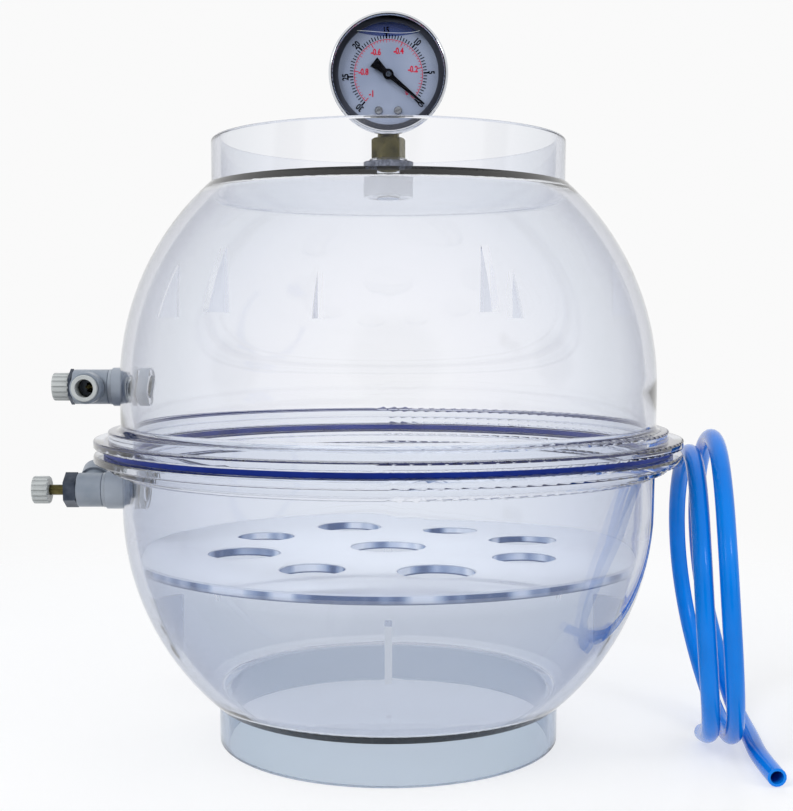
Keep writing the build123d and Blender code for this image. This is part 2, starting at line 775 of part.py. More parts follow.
with BuildPart() as tube_tip:
    tip_plane = Plane(
        origin=(end_x, 0, dial_height + end_z),
        x_dir=(0, 1, 0),
        z_dir=(-sin(tube_end_turn), 0, cos(tube_end_turn)),
    )
    with BuildSketch(tip_plane):
        SlotOverall(tube_flat_width, tip_block_size)
    extrude(amount=tip_block_length)
    with BuildSketch(front_plane(-gear_half_width)):
        ear_middle = (tip_block_length / 2 + tip_ear) / 2
        with Locations(
            (end_x - ear_middle * sin(tube_end_turn), end_z + ear_middle * cos(tube_end_turn))
        ):
            SlotCenterToCenter(
                tip_ear - tip_block_length / 2, 2 * link_pin_radius + 1.2, rotation=tube_end + 90
            )
    extrude(amount=2 * gear_half_width)
    with BuildSketch(front_plane(gear_half_width)):
        with Locations((tip_x, tip_z)):
            Circle(link_pin_radius)
    extrude(amount=link_back + link_thickness + 0.4 - gear_half_width)
save(tube_tip.part, "tube_tip")

with BuildPart() as hairspring:
    with BuildLine(front_plane(-gear_half_width - 1.1)) as spiral:
        inner = hairspring_start
        side = 1
        point = (inner, 0)
        for half_turn in range(2 * hairspring_turns):
            outer = inner + hairspring_pitch / 2
            radius = (inner + outer) / 2
            after = (point[0] - side * 2 * radius, 0)
            middle = (point[0] - side * radius, side * radius)
            ThreePointArc(point, middle, after)
            point = after
            inner = outer
            side = -side
    with BuildSketch(Plane(spiral.line @ 0, x_dir=(1, 0, 0), z_dir=spiral.line % 0)):
        Rectangle(*hairspring_strip)
    sweep()
save(hairspring.part, "hairspring")

# ---- gauge: pointer -----------------------------------------------------------------
with BuildPart() as pointer:
    zero = radians(zero_angle)
    back = front_plane(pointer_front - pointer_thickness)
    with BuildSketch(Plane(back.origin, x_dir=(cos(zero), 0, sin(zero)), z_dir=back.z_dir)):
        with BuildLine():
            Polyline(
                (0, pointer_root),
                (pointer_waist, pointer_tip + 0.25),
                (pointer_length, pointer_tip),
                (pointer_length, -pointer_tip),
                (pointer_waist, -pointer_tip - 0.25),
                (0, -pointer_root),
                (-pointer_hub_radius, -pointer_root),
                (-pointer_tail_length, -pointer_tail_half),
                (-pointer_tail_length, pointer_tail_half),
                (-pointer_hub_radius, pointer_root),
                (0, pointer_root),
            )
        make_face()
        Circle(pointer_hub_radius)
    extrude(amount=pointer_thickness)
    with BuildSketch(front_plane(pointer_front)):
        Circle(pointer_boss_radius)
    extrude(amount=pointer_boss_height)
    with BuildSketch(front_plane(pointer_front - 0.1)):
        Circle(arbor_radius)
    extrude(amount=-3, mode=Mode.SUBTRACT)
save(pointer.part, "pointer")

# ---- valves -------------------------------------------------------------------------
def port_plane(valve, distance):
    """Plane across the elbow's port, its normal along the port."""
    turn = radians(valve["port_angle"])
    direction = Vector(0, -cos(turn), sin(turn))
    middle = Vector(-valve["boss_outside"] - valve["port"], 0, half_height + valve["rise"])
    return Plane(origin=middle + direction * distance, x_dir=(1, 0, 0), z_dir=direction)


for valve_name, valve in valves.items():
    face = valve["boss_outside"]
    washer_end = face + valve_washer_thickness
    shoulder_end = washer_end + shoulder_length
    body_end = washer_end + valve["body"]
    bonnet_start = body_end + end_float
    bonnet_end = bonnet_start + valve["hex"]
    knob_start = bonnet_end + knob_gap + valve["opened"]
    gallery = face + valve["port"]
    seat_end = face + seat_rise
    needle_bore = needle_diameter / 2 + running_clearance
    sleeve_bore = hose_diameter / 2 + 2 * port_clearance
    grooves = (shoulder_end + groove_inset, body_end - groove_inset - 0.2)

    with BuildPart() as washer:
        with BuildSketch(valve_plane(valve, face)):
            Circle(valve_washer_diameter / 2)
            Circle(bore_radius, mode=Mode.SUBTRACT)
        extrude(amount=valve_washer_thickness)
    save(washer.part, f"{valve_name}_washer")

    # threaded core: screwed through the boss, with the spigot that the elbow turns on
    with BuildPart() as core:
        with BuildSketch(valve_plane(valve, valve["boss_inside"] + 1)):
            Circle(pipe_thread_diameter / 2)
        extrude(amount=washer_end - valve["boss_inside"] - 1)
        chamfer(core.edges().filter_by(GeomType.CIRCLE).group_by(Axis.X)[-1], 0.9)
        with BuildSketch(valve_plane(valve, washer_end)):
            Circle(shoulder_diameter / 2)
        extrude(amount=shoulder_length)
        with BuildSketch(valve_plane(valve, shoulder_end)):
            Circle(spigot_diameter / 2)
        extrude(amount=bonnet_start - shoulder_end + min(valve["hex"], bonnet_thread) - 0.8)
        with BuildSketch(valve_plane(valve, valve["boss_inside"])):
            Circle(channel_diameter)
        extrude(amount=seat_end + 1 - seat_length - valve["boss_inside"], mode=Mode.SUBTRACT)
        with BuildSketch(valve_plane(valve, seat_end - seat_length)):
            Circle(seat_diameter / 2)
        extrude(amount=seat_length + 1, mode=Mode.SUBTRACT)
        with BuildSketch(valve_plane(valve, seat_end)):
            Circle(needle_bore)
        extrude(amount=bonnet_end - seat_end, mode=Mode.SUBTRACT)
        with BuildSketch(Plane.XZ.offset(-spigot_diameter)):
            with Locations((-gallery, half_height + valve["rise"])):
                Circle(cross_bore_radius)
        extrude(amount=2 * spigot_diameter, mode=Mode.SUBTRACT)
        for groove_at in grooves:
            with BuildSketch(valve_plane(valve, groove_at - groove_width / 2)):
                Circle(spigot_diameter)
                Circle(spigot_diameter / 2 - groove_depth, mode=Mode.SUBTRACT)
            extrude(amount=groove_width, mode=Mode.SUBTRACT)
    save(core.part, f"{valve_name}_core")

    with BuildPart() as o_rings:
        for groove_at in grooves:
            ring_radius = spigot_diameter / 2 - groove_depth + o_ring_radius
            with BuildSketch(
                Plane(
                    origin=(-groove_at, 0, half_height + valve["rise"]),
                    x_dir=(0, 0, 1),
                    z_dir=(0, -1, 0),
                )
            ):
                with Locations((ring_radius, 0)):
                    Circle(o_ring_radius)
            revolve(axis=Axis((-groove_at, 0, half_height + valve["rise"]), (1, 0, 0)))
    save(o_rings.part, f"{valve_name}_o_rings")

    # plastic elbow: a barrel on the spigot with the push-in port standing out of it
    with BuildPart() as elbow:
        with BuildSketch(valve_plane(valve, washer_end + end_float)):
            Circle(elbow_diameter / 2)
        extrude(amount=body_end - washer_end - end_float)
        barrel_ends = elbow.edges().filter_by(GeomType.CIRCLE)
        fillet(barrel_ends, 0.7)
        with BuildSketch(port_plane(valve, 0)):
            Circle(port_neck_diameter / 2)
        extrude(amount=port_head_start + 0.5)
        with BuildSketch(port_plane(valve, port_head_start)):
            Circle(port_head_diameter / 2)
        extrude(amount=port_end - port_head_start)
        rim = elbow.edges().filter_by(GeomType.CIRCLE).sort_by_distance(
            port_plane(valve, 2 * port_end).origin
        )[0]
        fillet(rim, 0.9)
        with BuildSketch(valve_plane(valve, washer_end - port_neck_diameter)):
            Circle(valve_boss_diameter / 2 + 0.5)
        extrude(amount=port_neck_diameter + end_float, mode=Mode.SUBTRACT)
        with BuildSketch(valve_plane(valve, washer_end)):
            Circle(shoulder_diameter / 2 + running_clearance)
        extrude(amount=shoulder_length + end_float, mode=Mode.SUBTRACT)
        with BuildSketch(valve_plane(valve, washer_end)):
            Circle(spigot_diameter / 2 + running_clearance)
        extrude(amount=body_end - washer_end + 1, mode=Mode.SUBTRACT)
        with BuildSketch(valve_plane(valve, gallery - gallery_width / 2)):
            Circle(spigot_diameter / 2 + gallery_depth)
        extrude(amount=gallery_width, mode=Mode.SUBTRACT)
        with BuildSketch(port_plane(valve, spigot_diameter / 2)):
            Circle(3.0)
        extrude(amount=port_end, mode=Mode.SUBTRACT)
        with BuildSketch(port_plane(valve, tube_stop)):
            Circle(hose_diameter / 2 + port_clearance)
        extrude(amount=port_end, mode=Mode.SUBTRACT)
        with BuildSketch(port_plane(valve, collet_seat)):
            Circle(collet_sleeve / 2 + running_clearance)
        extrude(amount=port_end, mode=Mode.SUBTRACT)
    save(elbow.part, f"{valve_name}_elbow")

    with BuildPart() as tube_seal:
        with BuildSketch(port_plane(valve, collet_seat)):
            Circle(collet_sleeve / 2 + running_clearance)
            Circle(hose_diameter / 2 + port_clearance, mode=Mode.SUBTRACT)
        extrude(amount=tube_seal_thickness)
    save(tube_seal.part, f"{valve_name}_tube_seal")

    grab_start = collet_seat + tube_seal_thickness
    with BuildPart() as grab_ring:
        with BuildSketch(port_plane(valve, grab_start)):
            Circle(collet_sleeve / 2 + running_clearance)
            Circle(sleeve_bore, mode=Mode.SUBTRACT)
            with PolarLocations(sleeve_bore + 0.2, grab_slots):
                Rectangle(*grab_slot, mode=Mode.SUBTRACT)
        extrude(amount=grab_ring_thickness)
    save(grab_ring.part, f"{valve_name}_grab_ring")

    collet_start = grab_start + grab_ring_thickness + collet_travel + 0.2
    with BuildPart() as collet:
        with BuildSketch(port_plane(valve, collet_start)):
            Circle(collet_sleeve / 2)
        extrude(amount=port_end + collet_travel + 0.3 - collet_start)
        with BuildSketch(port_plane(valve, port_end + collet_travel + 0.1)):
            Circle(collet_flange / 2)
        extrude(amount=collet_flange_thickness)
        collet_rim = collet.edges().filter_by(GeomType.CIRCLE).sort_by_distance(
            port_plane(valve, 2 * port_end).origin
        )[0]
        fillet(collet_rim, 0.6)
        with BuildSketch(port_plane(valve, collet_start - 1)):
            Circle(sleeve_bore)
        extrude(amount=port_end, mode=Mode.SUBTRACT)
    save(collet.part, f"{valve_name}_collet")

    with BuildPart() as bonnet:
        with BuildSketch(valve_plane(valve, bonnet_start)):
            RegularPolygon(bonnet_width / 2, 6, major_radius=False, rotation=30)
        extrude(amount=valve["hex"])
        corner = bonnet_width / sqrt(3) + 0.2
        slope = min(bonnet_chamfer, valve["hex"] * 0.6)
        with BuildSketch(
            Plane(
                origin=(-bonnet_end, 0, half_height + valve["rise"]),
                x_dir=(0, 0, 1),
                z_dir=(0, -1, 0),
            )
        ):
            with BuildLine():
                Polyline(
                    (bonnet_width / 2 - slope, -0.01),
                    (corner, -0.01),
                    (corner, slope),
                    (bonnet_width / 2 - slope, -0.01),
                )
            make_face()
        revolve(
            axis=Axis((-bonnet_end, 0, half_height + valve["rise"]), (1, 0, 0)),
            mode=Mode.SUBTRACT,
        )
        with BuildSketch(valve_plane(valve, bonnet_start - 1)):
            Circle(needle_bore)
        extrude(amount=valve["hex"] + 2, mode=Mode.SUBTRACT)
        with BuildSketch(valve_plane(valve, bonnet_start - 1)):
            Circle(spigot_diameter / 2 + thread_clearance)
        extrude(amount=1 + min(valve["hex"], bonnet_thread) - 0.8, mode=Mode.SUBTRACT)
    save(bonnet.part, f"{valve_name}_bonnet")

    with BuildPart() as needle:
        needle_tip = seat_end + 0.3 + valve["opened"]
        with BuildSketch(valve_plane(valve, needle_tip)):
            Circle(needle_diameter / 2)
        extrude(amount=knob_start + knob_socket - 0.2 - needle_tip)
        with BuildSketch(valve_plane(valve, needle_tip)):
            Circle(seat_diameter / 2 - 0.15)
        extrude(amount=-needle_point, taper=needle_taper)
    save(needle.part, f"{valve_name}_needle")

    with BuildPart() as knob:
        with BuildSketch(valve_plane(valve, knob_start)):
            Circle(knob_diameter / 2)
        extrude(amount=knob_length)
        fillet(knob.edges(), 0.8)
        with BuildSketch(valve_plane(valve, knob_start - 1)):
            with PolarLocations(knob_diameter / 2 + 0.2, knob_grooves):
                Circle(knob_groove_radius)
        extrude(amount=knob_length + 2, mode=Mode.SUBTRACT)
        with BuildSketch(valve_plane(valve, knob_start - 1)):
            Circle(needle_bore)
        extrude(amount=knob_socket + 1, mode=Mode.SUBTRACT)
    save(knob.part, f"{valve_name}_knob")

# ---- hose ---------------------------------------------------------------------------
hose_radius = hose_diameter / 2
lean = radians(coil_lean)
coil_height = (
    (coil_radius + coil_slack) * cos(lean) + coil_spread / 2 * sin(lean) + hose_radius
)
coil_across = Vector(sin(radians(coil_yaw)), cos(radians(coil_yaw)), 0)
coil_up = Vector(-sin(lean), 0, cos(lean))
coil_normal = coil_across.cross(coil_up).normalized()
coil_frame = Plane(
    origin=(coil_stand_off, 0, coil_height), x_dir=coil_across, z_dir=coil_normal
)
with BuildPart() as hose_coil:
    with BuildSketch(Plane(coil_frame.origin, x_dir=coil_frame.x_dir, z_dir=-coil_frame.y_dir)):
        with Locations((coil_radius, 0)):
            RectangleRounded(
                2 * (coil_slack + hose_radius), coil_spread + hose_diameter, hose_radius - 0.01
            )
    revolve(axis=Axis(coil_frame.origin, coil_frame.z_dir))
save(hose_coil.part, "hose_coil")

route = [Vector(*point) for point in tail_route]
tail_radii = []
for before, corner_point, after in zip(route, route[1:], route[2:]):
    half_turn = radians((corner_point - before).get_angle(after - corner_point)) / 2
    shorter = min((corner_point - before).length, (after - corner_point).length)
    tail_radii.append(0.45 * shorter / tan(half_turn))
with BuildPart() as hose_tail:
    with BuildLine() as tail_path:
        FilletPolyline(*route, radius=tail_radii)
    with BuildSketch(Plane(tail_path.line @ 0, z_dir=tail_path.line % 0)):
        Circle(hose_radius)
        Circle(hose_bore / 2, mode=Mode.SUBTRACT)
    sweep()
save(hose_tail.part, "hose_tail")
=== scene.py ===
import math

import bpy
from mathutils import Matrix, Vector


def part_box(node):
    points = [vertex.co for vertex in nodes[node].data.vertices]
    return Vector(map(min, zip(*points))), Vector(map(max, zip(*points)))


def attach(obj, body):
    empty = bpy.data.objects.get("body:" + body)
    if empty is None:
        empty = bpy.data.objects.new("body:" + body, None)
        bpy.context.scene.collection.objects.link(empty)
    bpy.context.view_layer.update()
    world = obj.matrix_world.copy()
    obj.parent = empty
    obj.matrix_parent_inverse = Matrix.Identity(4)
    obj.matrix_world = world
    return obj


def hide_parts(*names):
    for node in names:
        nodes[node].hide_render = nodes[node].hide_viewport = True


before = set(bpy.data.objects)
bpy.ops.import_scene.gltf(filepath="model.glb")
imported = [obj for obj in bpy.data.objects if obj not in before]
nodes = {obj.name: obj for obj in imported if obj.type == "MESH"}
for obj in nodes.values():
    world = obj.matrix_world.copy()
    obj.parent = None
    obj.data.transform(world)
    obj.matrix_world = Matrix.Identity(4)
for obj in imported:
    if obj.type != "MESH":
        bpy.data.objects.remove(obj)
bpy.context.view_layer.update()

mm = 0.001
print("frame loaded:", len(nodes), "parts")


# working habits

def deselectAll():
    if bpy.context.object and bpy.context.object.mode != "OBJECT":
        bpy.ops.object.mode_set(mode="OBJECT")
    bpy.ops.object.select_all(action="DESELECT")


def selectOnly(piece):
    deselectAll()
    piece.select_set(True)
    bpy.context.view_layer.objects.active = piece


def nameNewest(name):
    piece = bpy.context.object
    piece.name = name
    piece.data.name = name
    return piece


def settle(piece):
    # place, turn and scale go into the mesh
    selectOnly(piece)
    bpy.ops.object.transform_apply(location=True, rotation=True, scale=True)
    return piece


def joinPieces(pieces, name):
    deselectAll()
    for piece in pieces:
        piece.select_set(True)
    bpy.context.view_layer.objects.active = pieces[0]
    bpy.ops.object.join()
    return settle(nameNewest(name))


def toMesh(piece):
    selectOnly(piece)
    bpy.ops.object.convert(target="MESH")
    return bpy.context.object


def applyModifiers(piece):
    selectOnly(piece)
    for modifier in list(piece.modifiers):
        bpy.ops.object.modifier_apply(modifier=modifier.name)
    return piece


def smoothShade(piece, degrees=35):
    selectOnly(piece)
    bpy.ops.object.shade_smooth_by_angle(angle=math.radians(degrees))
    return piece


def dress(piece, material, body):
    piece.data.materials.clear()
    piece.data.materials.append(material)
    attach(piece, body)
    return piece


def ringProfile(name, profile, axisPoint, axisDirection, sideDirection, steps=128):
    # a closed half section, distance from the axis and height along it, spun all round
    deselectAll()
    axisDirection, sideDirection = Vector(axisDirection), Vector(sideDirection)
    bpy.ops.mesh.primitive_circle_add(vertices=len(profile), radius=1, location=(0, 0, 0))
    piece = nameNewest(name)
    for vertex, (distance, height) in zip(piece.data.vertices, profile):
        vertex.co = Vector(axisPoint) + sideDirection * distance + axisDirection * height
    bpy.ops.object.mode_set(mode="EDIT")
    bpy.ops.mesh.select_all(action="SELECT")
    bpy.ops.mesh.spin(steps=steps, angle=math.tau, center=axisPoint, axis=axisDirection)
    bpy.ops.mesh.select_all(action="SELECT")
    bpy.ops.mesh.remove_doubles(threshold=1e-6)
    bpy.ops.mesh.normals_make_consistent(inside=False)
    bpy.ops.object.mode_set(mode="OBJECT")
    return smoothShade(piece)


# materials

def newMaterial(name):
    material = bpy.data.materials.new(name)
    material.use_nodes = True
    shader = material.node_tree.nodes["Principled BSDF"]
    return material, material.node_tree.nodes, material.node_tree.links, shader


def objectPattern(nodeSet, links, scale, kind="ShaderNodeTexNoise", stretch=(1, 1, 1), **values):
    place = nodeSet.new("ShaderNodeTexCoord")
    mapping = nodeSet.new("ShaderNodeMapping")
    mapping.inputs["Scale"].default_value = stretch
    pattern = nodeSet.new(kind)
    pattern.inputs["Scale"].default_value = scale
    for socket, value in values.items():
        pattern.inputs[socket].default_value = value
    links.new(place.outputs["Object"], mapping.inputs["Vector"])
    links.new(mapping.outputs["Vector"], pattern.inputs["Vector"])
    return pattern


def rampOf(nodeSet, links, factor, stops):
    ramp = nodeSet.new("ShaderNodeValToRGB")
    elements = ramp.color_ramp.elements
    while len(elements) < len(stops):
        elements.new(0.5)
    for element, (position, colour) in zip(elements, stops):
        element.position = position
        element.color = (*colour, 1)
    links.new(factor, ramp.inputs["Fac"])
    return ramp.outputs["Color"]


def feed(links, socket, source):
    # a socket takes another node's output, a number or a colour
    if isinstance(source, bpy.types.NodeSocket):
        links.new(source, socket)
    elif isinstance(source, tuple):
        socket.default_value = (*source, 1)
    else:
        socket.default_value = source


def mathNode(nodeSet, links, operation, *sources):
    node = nodeSet.new("ShaderNodeMath")
    node.operation = operation
    for socket, source in zip(node.inputs, sources):
        feed(links, socket, source)
    return node.outputs["Value"]


def largest(nodeSet, links, first, *others):
    for other in others:
        first = mathNode(nodeSet, links, "MAXIMUM", first, other)
    return first


def blended(nodeSet, links, factor, first, second, blendType="MIX"):
    blend = nodeSet.new("ShaderNodeMix")
    blend.data_type = "RGBA"
    blend.blend_type = blendType
    feed(links, blend.inputs["Factor"], factor)
    feed(links, blend.inputs["A"], first)
    feed(links, blend.inputs["B"], second)
    return blend.outputs["Result"]


def rescaled(nodeSet, links, value, low, high):
    # 0 at the low value and 1 at the high one
    node = nodeSet.new("ShaderNodeMapRange")
    node.inputs["From Min"].default_value = low
    node.inputs["From Max"].default_value = high
    links.new(value, node.inputs["Value"])
    return node.outputs["Result"]


def placeAlong(nodeSet, links, letter):
    place = nodeSet.new("ShaderNodeTexCoord")
    split = nodeSet.new("ShaderNodeSeparateXYZ")
    links.new(place.outputs["Object"], split.inputs["Vector"])
    return split.outputs[letter]


def mixShaders(nodeSet, links, factor, first, second, output):
    mix = nodeSet.new("ShaderNodeMixShader")
    links.new(factor, mix.inputs["Fac"])
    links.new(first, mix.inputs[1])
    links.new(second, mix.inputs[2])
    links.new(mix.outputs["Shader"], output.inputs["Surface"])


def paintCreviceShade(nodeSet, links, colour, reach):
    # painted shade: grooves and crevices are darkened by ambient occlusion
    if not reach:
        return colour
    occlusion = nodeSet.new("ShaderNodeAmbientOcclusion")
    occlusion.samples = 4
    occlusion.only_local = True
    occlusion.inputs["Distance"].default_value = reach
    depth = rampOf(nodeSet, links, occlusion.outputs["AO"], creviceShadeStops)
    return blended(nodeSet, links, 1, colour, depth, "MULTIPLY")


def bumpFrom(nodeSet, links, height, shader, strength, distance):
    bump = nodeSet.new("ShaderNodeBump")
    bump.inputs["Strength"].default_value = strength
    bump.inputs["Distance"].default_value = distance
    links.new(height, bump.inputs["Height"])
    links.new(bump.outputs["Normal"], shader.inputs["Normal"])


def letLampsThrough(material, tint):
    # lamps reach what stands behind the clear walls
    nodeSet, links = material.node_tree.nodes, material.node_tree.links
    path = nodeSet.new("ShaderNodeLightPath")
    clear = nodeSet.new("ShaderNodeBsdfTransparent")
    clear.inputs["Color"].default_value = (*tint, 1)
    # light that has bounced inside the walls for long is let out
    trapped = mathNode(nodeSet, links, "GREATER_THAN", path.outputs["Ray Depth"], trappedAfter)
    leave = largest(nodeSet, links, path.outputs["Is Shadow Ray"], trapped)
    mixShaders(
        nodeSet, links, leave, nodeSet["Principled BSDF"].outputs["BSDF"],
        clear.outputs["BSDF"], nodeSet["Material Output"],
    )


def paintCutEdgeShade(nodeSet, links, tint, settings):
    # walls cut across the sheet are painted in streaks from navy shade to white highlight, with a
    # painted shade line along each edge
    stripes = objectPattern(
        nodeSet, links, settings["edgeStripes"], stretch=(1, 1, 0), Detail=1
    )
    cutWallShade = rampOf(nodeSet, links, stripes.outputs["Fac"], settings["edgeShadeTints"])
    height = placeAlong(nodeSet, links, "Z")
    away = mathNode(nodeSet, links, "SUBTRACT", height, settings["edgeMiddle"])
    away = mathNode(nodeSet, links, "ABSOLUTE", away)
    line = rescaled(nodeSet, links, away, *settings["edgeLine"])
    lined = blended(nodeSet, links, line, cutWallShade, settings["edgeShadeColour"])
    surface = nodeSet.new("ShaderNodeNewGeometry")
    upward = nodeSet.new("ShaderNodeSeparateXYZ")
    links.new(surface.outputs["True Normal"], upward.inputs["Vector"])
    flatness = mathNode(nodeSet, links, "ABSOLUTE", upward.outputs["Z"])
    return blended(nodeSet, links, flatness, lined, tint)


def clearPlastic(name, settings):
    material, nodeSet, links, shader = newMaterial(name)
    shader.inputs["Transmission Weight"].default_value = settings.get("transmission", 1)
    shader.inputs["IOR"].default_value = settings["ior"]
    shader.inputs["Roughness"].default_value = 0
    facing = nodeSet.new("ShaderNodeLayerWeight")
    facing.inputs["Blend"].default_value = 0.5
    tint = rampOf(nodeSet, links, facing.outputs["Facing"], settings["tints"])
    # the walls take other tints below given heights; the bowl's darker tints and the darker band
    # under the shelf are painted shade
    for low, high, deepTints in settings.get("deeper", ()):
        # the moulding has other tints below a height
        above = rescaled(nodeSet, links, placeAlong(nodeSet, links, "Z"), low, high)
        deep = rampOf(nodeSet, links, facing.outputs["Facing"], deepTints)
        tint = blended(nodeSet, links, above, deep, tint)
    if "edgeShadeTints" in settings:
        tint = paintCutEdgeShade(nodeSet, links, tint, settings)
    links.new(tint, shader.inputs["Base Color"])
    # slow waves of the moulding, and haze only where a sheet has it
    waves = objectPattern(nodeSet, links, settings["waveScale"], Detail=1.5)
    bumpFrom(nodeSet, links, waves.outputs["Fac"], shader, settings["waveStrength"], 0.002)
    if "haze" in settings:
        haze = rampOf(nodeSet, links, waves.outputs["Fac"], settings["haze"])
        links.new(haze, shader.inputs["Roughness"])
    letLampsThrough(material, settings["lampTint"])
    return material


def mottled(nodeSet, links, factor, settings):
    # patches of the two tones of a finish, with painted shade in its crevices
    colour = rampOf(nodeSet, links, factor, ((0.3, settings["dark"]), (0.7, settings["light"])))
    return paintCreviceShade(nodeSet, links, colour, settings.get("creviceShadeReach", 0))


def colouredPlastic(name, settings):
    material, nodeSet, links, shader = newMaterial(name)
    mottle = objectPattern(nodeSet, links, settings["mottleScale"], Detail=4)
    colour = mottled(nodeSet, links, mottle.outputs["Fac"], settings)
    links.new(colour, shader.inputs["Base Color"])
    shader.inputs["Roughness"].default_value = settings["roughness"]
    shader.inputs["Specular IOR Level"].default_value = settings.get("specular", 0.4)
    shader.inputs["Transmission Weight"].default_value = settings.get("transmission", 0)
    shader.inputs["Subsurface Weight"].default_value = settings.get("subsurface", 0)
    shader.inputs["Subsurface Scale"].default_value = 0.002
    grain = objectPattern(nodeSet, links, settings["grainScale"], Detail=3)
    bumpFrom(nodeSet, links, grain.outputs["Fac"], shader, settings["grainStrength"], 0.0002)
    return material


def metal(name, settings):
    material, nodeSet, links, shader = newMaterial(name)
    shader.inputs["Metallic"].default_value = 1
    patches = objectPattern(nodeSet, links, settings["patchScale"], Detail=5)
    colour = mottled(nodeSet, links, patches.outputs["Fac"], settings)
    links.new(colour, shader.inputs["Base Color"])
    low, high = settings["roughness"]
    stops = ((0.3, (low,) * 3), (0.7, (high,) * 3))
    links.new(rampOf(nodeSet, links, patches.outputs["Fac"], stops), shader.inputs["Roughness"])
    scratches = objectPattern(
        nodeSet, links, settings["scratchScale"], stretch=settings["stretch"], Detail=6
    )
    bumpFrom(
        nodeSet, links, scratches.outputs["Fac"], shader, settings["scratchStrength"], 0.0001
    )
    return material


# painted shade: the tone of the darkest crevices, up to the fully open surface
creviceShadeStops = ((0.35, (0.38, 0.39, 0.42)), (0.9, (1, 1, 1)))
trappedAfter = 6.5       # bounces

# tints run from walls seen face on to walls seen along their surface; in every tint table the
# darkening towards grazing walls is painted edge shade
domeTints = (
    (0.0, (0.97, 0.976, 0.996)), (0.073, (0.945, 0.952, 0.985)), (0.17, (0.91, 0.924, 0.957)),
    (0.30, (0.865, 0.885, 0.93)), (0.44, (0.79, 0.815, 0.86)), (0.575, (0.73, 0.75, 0.80)),
    (0.73, (0.48, 0.50, 0.58)), (0.86, (0.24, 0.27, 0.35)),
)
shadedBowlTints = (
    (0.0, (0.88, 0.905, 0.955)), (0.17, (0.82, 0.85, 0.915)), (0.30, (0.76, 0.79, 0.87)),
    (0.44, (0.67, 0.70, 0.78)), (0.60, (0.56, 0.60, 0.69)), (0.75, (0.40, 0.44, 0.55)),
    (0.88, (0.18, 0.23, 0.36)), (1.0, (0.08, 0.12, 0.26)),
)
rimTints = (
    (0.0, (0.84, 0.87, 0.93)), (0.3, (0.74, 0.77, 0.85)), (0.6, (0.58, 0.62, 0.71)),
    (1.0, (0.30, 0.34, 0.44)),
)
discTints = (
    (0.0, (0.95, 0.96, 0.985)), (0.5, (0.88, 0.90, 0.94)), (1.0, (0.66, 0.70, 0.78)),
)
underShelfShadeTints = (
    (0.0, (0.725, 0.755, 0.815)), (0.25, (0.695, 0.73, 0.795)), (0.44, (0.63, 0.675, 0.76)),
    (0.60, (0.545, 0.59, 0.70)), (0.75, (0.39, 0.44, 0.56)), (0.88, (0.18, 0.23, 0.38)),
)
footTints = (
    (0.0, (0.54, 0.61, 0.69)), (0.3, (0.50, 0.58, 0.66)), (0.6, (0.40, 0.475, 0.58)),
    (0.85, (0.20, 0.26, 0.40)),
)
lidWall = {
    "ior": 1.47, "waveScale": 9, "waveStrength": 0.05, "tints": domeTints,
    "lampTint": (0.93, 0.94, 0.965),
    # from, to and the tints below them
    "deeper": (
        (0.3135, 0.3145, discTints), (0.3065, 0.3075, domeTints), (0.1795, 0.1805, rimTints),
    ),
}
bowlWall = dict(
    lidWall,
    tints=rimTints,
    deeper=(
        # painted shade: the bowl below its rim is darker than the dome, and darker still under the
        # shelf
        (0.1575, 0.1585, shadedBowlTints), (0.098, 0.112, underShelfShadeTints),
        (0.0305, 0.0315, discTints), (0.0235, 0.0245, footTints),
    ),
)
shelfSheet = {
    "ior": 1.47, "waveScale": 14, "waveStrength": 0.02, "transmission": 0.2,
    "tints": ((0.0, (0.93, 0.945, 0.96)), (0.8, (0.92, 0.935, 0.95)), (1.0, (0.6, 0.66, 0.8))),
    # cut walls are painted from navy shade to white highlight, with a painted shade line along
    # each edge
    "edgeStripes": 55, "edgeShadeTints": (
        (0.40, (0.05, 0.10, 0.24)), (0.47, (0.26, 0.35, 0.54)), (0.54, (0.62, 0.70, 0.84)),
        (0.60, (0.90, 0.94, 1.0)),
    ),
    "edgeMiddle": 0.1085, "edgeLine": (0.0015, 0.0021), "edgeShadeColour": (0.05, 0.09, 0.21),
    "haze": ((0.4, (0.02, 0.02, 0.02)), (0.8, (0.08, 0.08, 0.08))),
    "lampTint": (0.9, 0.92, 0.95),
}
gaugeGlass = {
    "ior": 1.14, "waveScale": 30, "waveStrength": 0.0,
    "tints": ((0.0, (0.93, 0.94, 0.965)), (1.0, (0.6, 0.66, 0.8))),
    "lampTint": (0.97, 0.97, 0.98),
}

bowlClear = clearPlastic("bowlClear", bowlWall)
lidClear = clearPlastic("lidClear", lidWall)
shelfClear = clearPlastic("shelfClear", shelfSheet)
windowClear = clearPlastic("windowClear", gaugeGlass)

blueSilicone = colouredPlastic("blueSilicone", {
    "dark": (0.001, 0.013, 0.15), "light": (0.002, 0.022, 0.23), "mottleScale": 60,
    "roughness": 0.4, "specular": 0.2, "grainScale": 900, "grainStrength": 0.15,
})
greyNylon = colouredPlastic("greyNylon", {
    "dark": (0.20, 0.235, 0.28), "light": (0.27, 0.30, 0.345), "mottleScale": 90, "creviceShadeReach": 0.003,
    "roughness": 0.36, "grainScale": 2500, "grainStrength": 0.2,
})
lightNylon = colouredPlastic("lightNylon", {
    "dark": (0.42, 0.44, 0.43), "light": (0.50, 0.52, 0.51), "mottleScale": 90, "creviceShadeReach": 0.0016,
    "roughness": 0.32, "grainScale": 2500, "grainStrength": 0.2,
})
